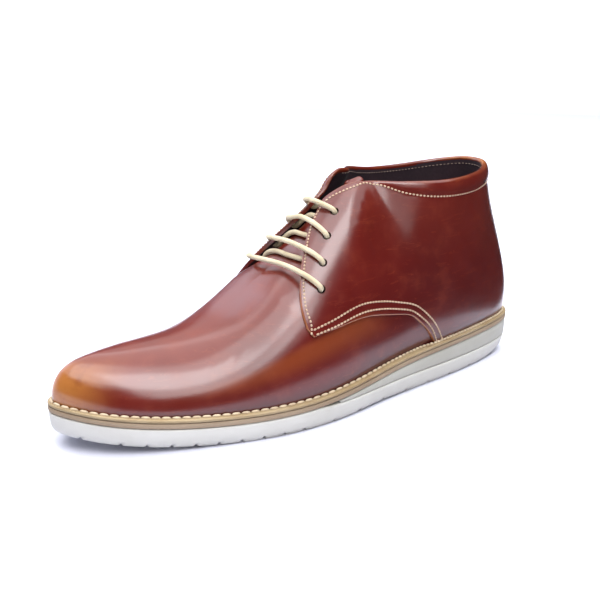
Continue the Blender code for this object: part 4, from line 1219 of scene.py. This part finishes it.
def lace():
    """The cord along its route, about 415 mm, with rounded ends."""
    route = lace_route()
    points = path_spline(route, 1400)
    run = run_along(points)
    even = np.linspace(0, run[-1], int(run[-1] / LACE_STEP))
    points = np.stack([np.interp(even, run, points[:, i]) for i in range(3)], -1)
    tangent = np.gradient(points, axis=0)
    tangent /= np.linalg.norm(tangent, axis=1, keepdims=True)
    side = unit(np.cross(tangent[0], (0, 0, 1.0)))
    rings, pairs = [], []
    angles = np.linspace(0, 2 * math.pi, LACE_SIDES + 1)
    for place, p, t in zip(even, points, tangent):
        side = unit(side - t * side.dot(t))
        other = np.cross(t, side)
        end = min(place, even[-1] - place)
        radius = LACE_RADIUS * math.sqrt(max(0.0, 1 - max(0.0, 1 - end / 1.2) ** 2)) + 0.02
        ring = circle(p, side * radius, other * radius, LACE_SIDES)
        rings += ring + ring[:1]
        pairs += [(place * MM, angle * LACE_RADIUS * MM) for angle in angles]
    faces = grid(len(points), LACE_SIDES + 1)
    return outward(mesh_object("cord", rings, faces, [("grain", pairs)], ["cord"]))


# ---------------- materials ----------------
LEATHER_DEEP = (0.030, 0.004, 0.004)
LEATHER_DARK = (0.076, 0.0036, 0.0026)
LEATHER_MID = (0.108, 0.0062, 0.0032)
LEATHER_WARM = (0.200, 0.032, 0.011)
LEATHER_TOE = (0.36, 0.130, 0.025)
LEATHER_GLOW = (0.27, 0.060, 0.009)
LEATHER_EDGE = (0.36, 0.13, 0.05)
# the third colour darkens the outsole near the floor: grime and painted contact shade
SOLE_LIGHT, SOLE_SHADE, SOLE_GRIME_AND_SHADE = (0.57, 0.565, 0.53), (0.52, 0.51, 0.47), (0.20, 0.17, 0.14)
WEDGE_LIGHT, WEDGE_SHADE = (0.435, 0.43, 0.385), (0.38, 0.37, 0.325)
MIDSOLE_LIGHT, MIDSOLE_SHADE = (0.325, 0.245, 0.168), (0.26, 0.19, 0.125)
FLOOR_LIGHT, FLOOR_SHADE = (0.655, 0.665, 0.76), (0.64, 0.65, 0.745)
WELT_LIGHT, WELT_SHADE, WELT_FIBRE = (0.37, 0.285, 0.17), (0.29, 0.21, 0.11), (0.16, 0.075, 0.025)
LINING_DARK, LINING_LIGHT = (0.016, 0.0065, 0.0115), (0.030, 0.012, 0.019)
# near-black colours for the eyelet holes' walls: painted shade
HOLE_SHADE_DARK, HOLE_SHADE_LIGHT = (0.030, 0.009, 0.006), (0.075, 0.022, 0.012)
CORD_SHADE, CORD_LIGHT, CORD_WEAVE = (0.51, 0.425, 0.265), (0.62, 0.545, 0.375), (0.42, 0.33, 0.19)
THREADS = {
    "thread": ((0.57, 0.41, 0.28), (0.43, 0.29, 0.18)),
    "bead": ((0.64, 0.52, 0.36), (0.50, 0.38, 0.25)),
    "dull_thread": ((0.34, 0.25, 0.20), (0.22, 0.15, 0.12)),
}


class Nodes:
    """Short calls for building one node material."""

    def __init__(self, name):
        self.material = bpy.data.materials.new(name)
        self.material.use_nodes = True
        self.tree = self.material.node_tree
        self.shader = self.tree.nodes["Principled BSDF"]
        self.shader.inputs["Metallic"].default_value = 0.0

    def put(self, kind, inputs=(), **settings):
        node = self.tree.nodes.new(kind)
        for key, value in settings.items():
            setattr(node, key, value)
        for key, value in dict(inputs).items():
            self.feed(node.inputs[key], value)
        return node

    def feed(self, socket, value):
        if isinstance(value, bpy.types.NodeSocket):
            self.tree.links.new(value, socket)
        elif isinstance(value, tuple) and socket.type == "RGBA" and len(value) == 3:
            socket.default_value = (*value, 1.0)
        else:
            socket.default_value = value

    def math(self, operation, a, b=0.0):
        return self.put("ShaderNodeMath", {0: a, 1: b}, operation=operation).outputs[0]

    def times(self, a, b):
        return self.math("MULTIPLY", a, b)

    def plus(self, a, b):
        return self.math("ADD", a, b)

    def step(self, value, low, high, to_low=0.0, to_high=1.0):
        """Smooth change from to_low to to_high as value goes from low to high."""
        node = self.put("ShaderNodeMapRange", {"Value": value, "From Min": low, "From Max": high,
                                               "To Min": to_low, "To Max": to_high},
                        interpolation_type="SMOOTHSTEP")
        return node.outputs["Result"]

    def mix(self, share, a, b):
        node = self.put("ShaderNodeMix", data_type="RGBA")
        self.feed(node.inputs[0], share)
        self.feed(node.inputs[6], a)
        self.feed(node.inputs[7], b)
        return node.outputs[2]

    def noise(self, scale, detail=4.0, rough=0.5, vector=None, distortion=0.0):
        vector = self.place if vector is None else vector
        return self.put("ShaderNodeTexNoise", {"Vector": vector, "Scale": scale, "Detail": detail,
                                               "Roughness": rough, "Distortion": distortion}).outputs["Fac"]

    def cells(self, scale):
        return self.put("ShaderNodeTexVoronoi", {"Vector": self.place, "Scale": scale},
                        feature="DISTANCE_TO_EDGE").outputs["Distance"]

    def pair(self, name):
        """Both numbers of one of the mesh's maps."""
        uv = self.put("ShaderNodeUVMap", uv_map=name).outputs["UV"]
        parts = self.put("ShaderNodeSeparateXYZ", {"Vector": uv})
        return parts.outputs["X"], parts.outputs["Y"]

    @property
    def place(self):
        """Object coordinates, in metres."""
        if not hasattr(self, "_place"):
            self._place = self.put("ShaderNodeTexCoord").outputs["Object"]
        return self._place

    def stretched(self, x, y, z, turn=0.0):
        return self.put("ShaderNodeMapping", {"Vector": self.place, "Scale": (x, y, z),
                                              "Rotation": (0.0, turn, 0.0)}).outputs["Vector"]

    def bump(self, height, distance, strength=1.0, base=None):
        node = self.put("ShaderNodeBump", {"Height": height, "Distance": distance, "Strength": strength})
        if base is not None:
            self.feed(node.inputs["Normal"], base)
        return node.outputs["Normal"]

    def finish(self, colour, rough, normal, **extra):
        for key, value in {"Base_Color": colour, "Roughness": rough, "Normal": normal, **extra}.items():
            self.feed(self.shader.inputs[key.replace("_", " ")], value)
        return self.material


def leather():
    """Glossy chestnut leather: burgundy on the sides, burnished tan at the toe, tan cut edges."""
    n = Nodes("leather")
    s, v = n.pair("tone")
    d_edge, d_rim = n.pair("edge")
    broad = n.noise(13.0, 3.0, 0.55)
    mottle = n.noise(75.0, 4.0, 0.55)
    fine = n.noise(520.0, 2.0, 0.5)
    base = n.mix(n.step(broad, 0.32, 0.68), LEATHER_DARK, LEATHER_MID)
    warm = n.times(n.step(v, 0.35, 0.80), 0.14)
    base = n.mix(warm, base, LEATHER_WARM)
    fore = n.times(n.step(s, 0.56, 0.80), n.step(v, 0.20, 0.60, 0.12, 0.26))
    base = n.mix(fore, base, LEATHER_WARM)
    toe = n.times(n.step(s, 0.880, 0.985), n.step(v, 0.90, 0.30))
    toe = n.times(toe, n.step(mottle, 0.30, 0.60, 0.70, 1.0))
    base = n.mix(toe, base, LEATHER_TOE)
    base = n.mix(n.times(n.step(mottle, 0.50, 0.72), 0.22), base, LEATHER_WARM)
    base = n.mix(n.times(n.step(mottle, 0.52, 0.34), 0.15), base, LEATHER_DARK)
    seam = n.times(n.step(v, 0.13, 0.22), n.step(v, 0.29, 0.24))
    seam = n.times(n.times(seam, n.step(s, 0.38, 0.50)), n.step(s, 0.86, 0.58, 0.0, 0.45))
    base = n.mix(seam, base, LEATHER_GLOW)
    foot = n.times(n.step(v, 0.10, 0.015), 0.55)
    base = n.mix(foot, base, LEATHER_DEEP)
    # the rim near the heel is painted a lighter tan: rubbed wear and painted highlight
    rim_wear_and_highlight = n.times(n.step(d_rim, 2.2, 0.5), n.step(s, 0.15, 0.03, 0.12, 0.9))
    base = n.mix(n.times(rim_wear_and_highlight, n.step(mottle, 0.35, 0.6, 0.3, 0.9)), base, LEATHER_TOE)
    cut_edge = n.step(d_edge, 0.62, 0.22)
    base = n.mix(cut_edge, base, LEATHER_EDGE)
    scratch = n.noise(60.0, 4.0, 0.6, n.stretched(1.0, 1.0, 6.0, 0.6), 1.0)
    line = n.times(n.step(scratch, 0.600, 0.625), n.step(scratch, 0.650, 0.625))
    base = n.mix(n.times(line, 0.35), base, LEATHER_WARM)
    rough = n.step(mottle, 0.25, 0.75, 0.36, 0.46)
    rough = n.plus(rough, n.times(line, 0.08))
    rough = n.plus(rough, n.times(cut_edge, 0.20))
    grain = n.plus(n.times(n.step(n.cells(1100.0), 0.0, 0.3), 0.4), fine)
    normal = n.bump(grain, 0.00004, 0.35)
    normal = n.bump(mottle, 0.0006, 0.10, normal)
    normal = n.bump(n.noise(30.0, 2.0, 0.5), 0.0025, 0.09, normal)
    coat = n.step(mottle, 0.25, 0.75, 0.15, 0.21)
    return n.finish(base, rough, normal, Specular_IOR_Level=0.15, Coat_Weight=1.0, Coat_IOR=1.6,
                    Coat_Roughness=coat, Coat_Normal=normal)


def lining():
    """Near-black textile with a fine weave."""
    n = Nodes("lining")
    weave = n.noise(500.0, 3.0, 0.6)
    base = n.mix(n.step(n.noise(40.0), 0.3, 0.7), LINING_DARK, LINING_LIGHT)
    rough = n.step(weave, 0.2, 0.8, 0.62, 0.82)
    return n.finish(base, rough, n.bump(weave, 0.0002, 0.5), Sheen_Weight=0.04, Sheen_Roughness=0.4)


def hole():
    """Raw leather inside a punched eyelet, painted near black: painted shade inside the hole."""
    n = Nodes("hole")
    fibre = n.noise(700.0, 3.0, 0.6)
    base = n.mix(n.step(fibre, 0.3, 0.7), HOLE_SHADE_DARK, HOLE_SHADE_LIGHT)
    return n.finish(base, n.step(fibre, 0.2, 0.8, 0.55, 0.75), n.bump(fibre, 0.0002, 0.4))


def thread(name, light, shade):
    """Waxed thread, twisted along each stitch."""
    n = Nodes(name)
    along, round_ = n.pair("grain")
    twist = n.math("SINE", n.times(n.plus(along, n.times(round_, 0.8)), 9000.0))
    tint = n.noise(260.0, 3.0)
    base = n.mix(n.step(tint, 0.3, 0.7), shade, light)
    rough = n.step(tint, 0.2, 0.8, 0.48, 0.66)
    return n.finish(base, rough, n.bump(twist, 0.00008, 0.4), Sheen_Weight=0.2)


def cord():
    """Round woven cotton cord with a fine diagonal weave."""
    n = Nodes("cord")
    along, round_ = n.pair("grain")
    one = n.math("SINE", n.times(n.plus(along, round_), 5200.0))
    two = n.math("SINE", n.times(n.math("SUBTRACT", along, round_), 5200.0))
    weave = n.math("MAXIMUM", one, two)
    tint = n.noise(120.0, 4.0)
    base = n.mix(n.step(tint, 0.3, 0.7), CORD_SHADE, CORD_LIGHT)
    base = n.mix(n.step(weave, 0.2, -0.6, 0.0, 0.35), base, CORD_WEAVE)
    rough = n.step(tint, 0.2, 0.8, 0.55, 0.72)
    return n.finish(base, rough, n.bump(weave, 0.00015, 0.5), Sheen_Weight=0.3, Sheen_Roughness=0.4)


def foam(name, light, shade, scale=900.0, rough_low=0.50, rough_high=0.68, grime_and_shade=False):
    """Sole compound: fine pores, faint horizontal mould lines, and where asked a patchy darker band near the
    floor: grime and painted contact shade.
    """
    n = Nodes(name)
    cloud = n.noise(22.0, 5.0, 0.6)
    streak = n.noise(60.0, 4.0, 0.5, n.stretched(0.25, 0.25, 6.0))
    base = n.mix(n.step(cloud, 0.30, 0.75), light, shade)
    base = n.mix(n.times(n.step(streak, 0.5, 0.8), 0.20), base, shade)
    if grime_and_shade:
        # darker towards the floor, in patches: grime and painted contact shade
        z = n.put("ShaderNodeSeparateXYZ", {"Vector": n.place}).outputs["Z"]
        low_grime_and_shade = n.times(n.step(z, 0.0035, 0.0004), n.step(n.noise(90.0, 5.0, 0.65), 0.3, 0.7))
        base = n.mix(n.times(low_grime_and_shade, 0.45), base, SOLE_GRIME_AND_SHADE)
    normal = n.bump(streak, 0.0006, 0.10, n.bump(n.noise(scale, 3.0, 0.6), 0.00012, 0.45))
    return n.finish(base, n.step(cloud, 0.2, 0.8, rough_low, rough_high), normal, Specular_IOR_Level=0.35)


def welt_material():
    """Edge of veg-tanned leather: golden tan with darker fibres along it."""
    n = Nodes("welt")
    fibre = n.noise(120.0, 6.0, 0.7, n.stretched(0.5, 0.5, 8.0))
    cloud = n.noise(30.0, 4.0)
    base = n.mix(n.step(cloud, 0.3, 0.7), WELT_LIGHT, WELT_SHADE)
    base = n.mix(n.times(n.step(fibre, 0.45, 0.75), 0.5), base, WELT_FIBRE)
    rough = n.step(fibre, 0.2, 0.8, 0.42, 0.62)
    return n.finish(base, rough, n.bump(fibre, 0.0003, 0.35), Specular_IOR_Level=0.4)


def floor_material():
    """A pale, even table top."""
    n = Nodes("floor")
    cloud = n.noise(3.0, 3.0)
    base = n.mix(n.step(cloud, 0.3, 0.7), FLOOR_LIGHT, FLOOR_SHADE)
    return n.finish(base, 0.75, n.bump(n.noise(60.0), 0.0005, 0.05), Specular_IOR_Level=0.2)


MATERIALS = {
    "leather": leather(),
    "lining": lining(),
    "hole": hole(),
    **{name: thread(name, *tints) for name, tints in THREADS.items()},
    "cord": cord(),
    "outsole": foam("outsole", SOLE_LIGHT, SOLE_SHADE, grime_and_shade=True),
    "wedge": foam("wedge", WEDGE_LIGHT, WEDGE_SHADE),
    "midsole": foam("midsole", MIDSOLE_LIGHT, MIDSOLE_SHADE, 700.0, 0.5, 0.7),
    "welt": welt_material(),
    "floor": floor_material(),
}


# ---------------- the set ----------------
def stand(name, data, place, target):
    """A light or the camera, looking from place to target."""
    obj = bpy.data.objects.new(name, data)
    obj.location = place
    bpy.context.scene.collection.objects.link(obj)
    obj.rotation_mode = "QUATERNION"
    obj.rotation_quaternion = (Vector(target) - obj.location).to_track_quat("-Z", "Y")
    return obj


def area_light(name, place, target, width, height, power, colour):
    data = bpy.data.lights.new(name, "AREA")
    data.shape = "RECTANGLE"
    data.size, data.size_y = width, height
    data.energy = power
    data.color = colour
    return stand(name, data, place, target)


def sheet(name, corners, rows=2):
    """A smooth stage surface through rows of corner points; its material is the pale floor's."""
    mesh = bpy.data.meshes.new(name)
    mesh.from_pydata(corners, [], grid(rows, len(corners) // rows))
    mesh.materials.append(MATERIALS["floor"])
    mesh.shade_smooth()
    obj = bpy.data.objects.new(name, mesh)
    bpy.context.scene.collection.objects.link(obj)
    return obj


def turned(x, y, z, angle):
    return x * math.cos(angle) - y * math.sin(angle), x * math.sin(angle) + y * math.cos(angle), z


CAMERA_PLACE, CAMERA_TARGET, CAMERA_LENS = (0.2836, 0.4404, 0.2258), (0.005, 0.0, 0.058), 56.0
# The floor is in two halves that meet along a line beside the shoe. The front one stays out of reflections.
TABLE_EDGE, TABLE_EDGE_TURN = 0.140, math.radians(126)
BACK, FRONT, BACKDROP, WIDE = 1.1, 1.7, 1.5, 3.0
BEND, BACK_HEIGHT = 0.5, 1.5
SKY_COLOUR, SKY_STRENGTH = (0.85, 0.90, 1.0, 1.0), 0.04
WARM_LIGHT, CLEAR_LIGHT, COOL_LIGHT = (1.0, 0.985, 0.985), (0.97, 0.985, 1.0), (0.96, 0.98, 1.0)
KEY_ROLL = math.radians(8)
LIGHTS = (
    # name, place, target, width, height, watts, colour
    ("ceiling", (0.0, 0.0, 1.5), (0.0, 0.0, 0.0), 2.8, 2.8, 45.0, CLEAR_LIGHT),
    ("key", (0.16, 0.69, 0.99), (0.06, 0.0, 0.36), 0.50, 1.08, 7.7, WARM_LIGHT),
    ("top", (0.30, 0.28, 1.08), (0.05, 0.0, 0.05), 1.1, 0.9, 6.8, WARM_LIGHT),
    ("low", (0.025, 0.36, 0.235), (0.04, 0.0, 0.06), 0.20, 0.14, 0.10, WARM_LIGHT),
    ("back", (0.10, -1.05, 0.95), (0.05, 0.0, 0.06), 1.9, 0.7, 3.6, COOL_LIGHT),
    ("wall", (-0.25, -0.45, 1.40), (-0.5, -1.0, 0.1), 2.2, 0.7, 36.0, (0.98, 0.985, 1.0)),
)


def floors():
    """A pale table that curves up behind and ahead, and a round backdrop that closes its ends."""
    bend = [(BEND * math.sin(a), BEND - BEND * math.cos(a)) for a in np.linspace(0.05, math.pi / 2, 18)]
    bend.append((BEND, BACK_HEIGHT))
    behind = [(TABLE_EDGE, 0.0), (0.0, 0.0), (-BACK, 0.0)] + [(-BACK - y, z) for y, z in bend]
    ahead = [(FRONT + y, z) for y, z in bend[::-1]] + [(FRONT, 0.0), (TABLE_EDGE, 0.0)]
    sheet("floor", [turned(y, x, z, TABLE_EDGE_TURN) for x in (-WIDE, WIDE) for y, z in behind])
    front = sheet("floor_front", [turned(y, x, z, TABLE_EDGE_TURN) for x in (-WIDE, WIDE) for y, z in ahead])
    angles = np.linspace(0.0, 2 * math.pi, 73)
    around = [turned(BACKDROP + y, 0.0, z - 0.001, a) for a in angles for y, z in bend]
    ring = sheet("backdrop", around, len(angles))
    front.visible_glossy = ring.visible_glossy = ring.visible_diffuse = False


def studio():
    """The floor, a weak sky and soft panels; the one that lights the backdrop stays out of reflections."""
    floors()
    sky = bpy.data.worlds.new("studio")
    sky.use_nodes = True
    background = sky.node_tree.nodes["Background"]
    background.inputs["Color"].default_value = SKY_COLOUR
    background.inputs["Strength"].default_value = SKY_STRENGTH
    bpy.context.scene.world = sky
    lights = {row[0]: area_light(*row) for row in LIGHTS}
    lights["key"].rotation_quaternion @= Quaternion((0.0, 0.0, 1.0), KEY_ROLL)
    lights["wall"].visible_glossy = False


def camera():
    data = bpy.data.cameras.new("camera")
    data.lens = CAMERA_LENS
    data.sensor_width = 36.0
    bpy.context.scene.camera = stand("camera", data, CAMERA_PLACE, CAMERA_TARGET)


# ---------------- assembly ----------------
def main():
    leather_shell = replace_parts(quarters(), "upper")
    vamp, tongue_face, vamp_lining = vamp_and_tongue()
    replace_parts(tongue_face, "tongue")
    stay = backstay()
    upper_rows, lining_rows = stitches()
    beads = capsules("welt_beads", bead_lines(), BEAD_SIZE, "bead", BEAD_SIDES)
    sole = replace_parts(outsole(), "outsole")
    wedge_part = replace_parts(wedge(), "wedge")
    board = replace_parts(midsole(), "midsole")
    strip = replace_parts(welt(), "welt")
    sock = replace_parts(insole(), "insole")
    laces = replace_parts(lace(), "lace")
    slots = (
        ("upper", (leather_shell, vamp, stay, upper_rows)), ("tongue", (tongue_face,)),
        ("lining", (vamp_lining, lining_rows, sock)), ("welt", (strip, beads)),
        ("outsole", (sole,)), ("wedge", (wedge_part,)), ("midsole", (board,)), ("lace", (laces,)),
    )
    for slot, pieces in slots:
        for piece in pieces:
            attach(piece, "root")
    studio()
    camera()
    bpy.context.scene.view_settings.view_transform = "Standard"


main()
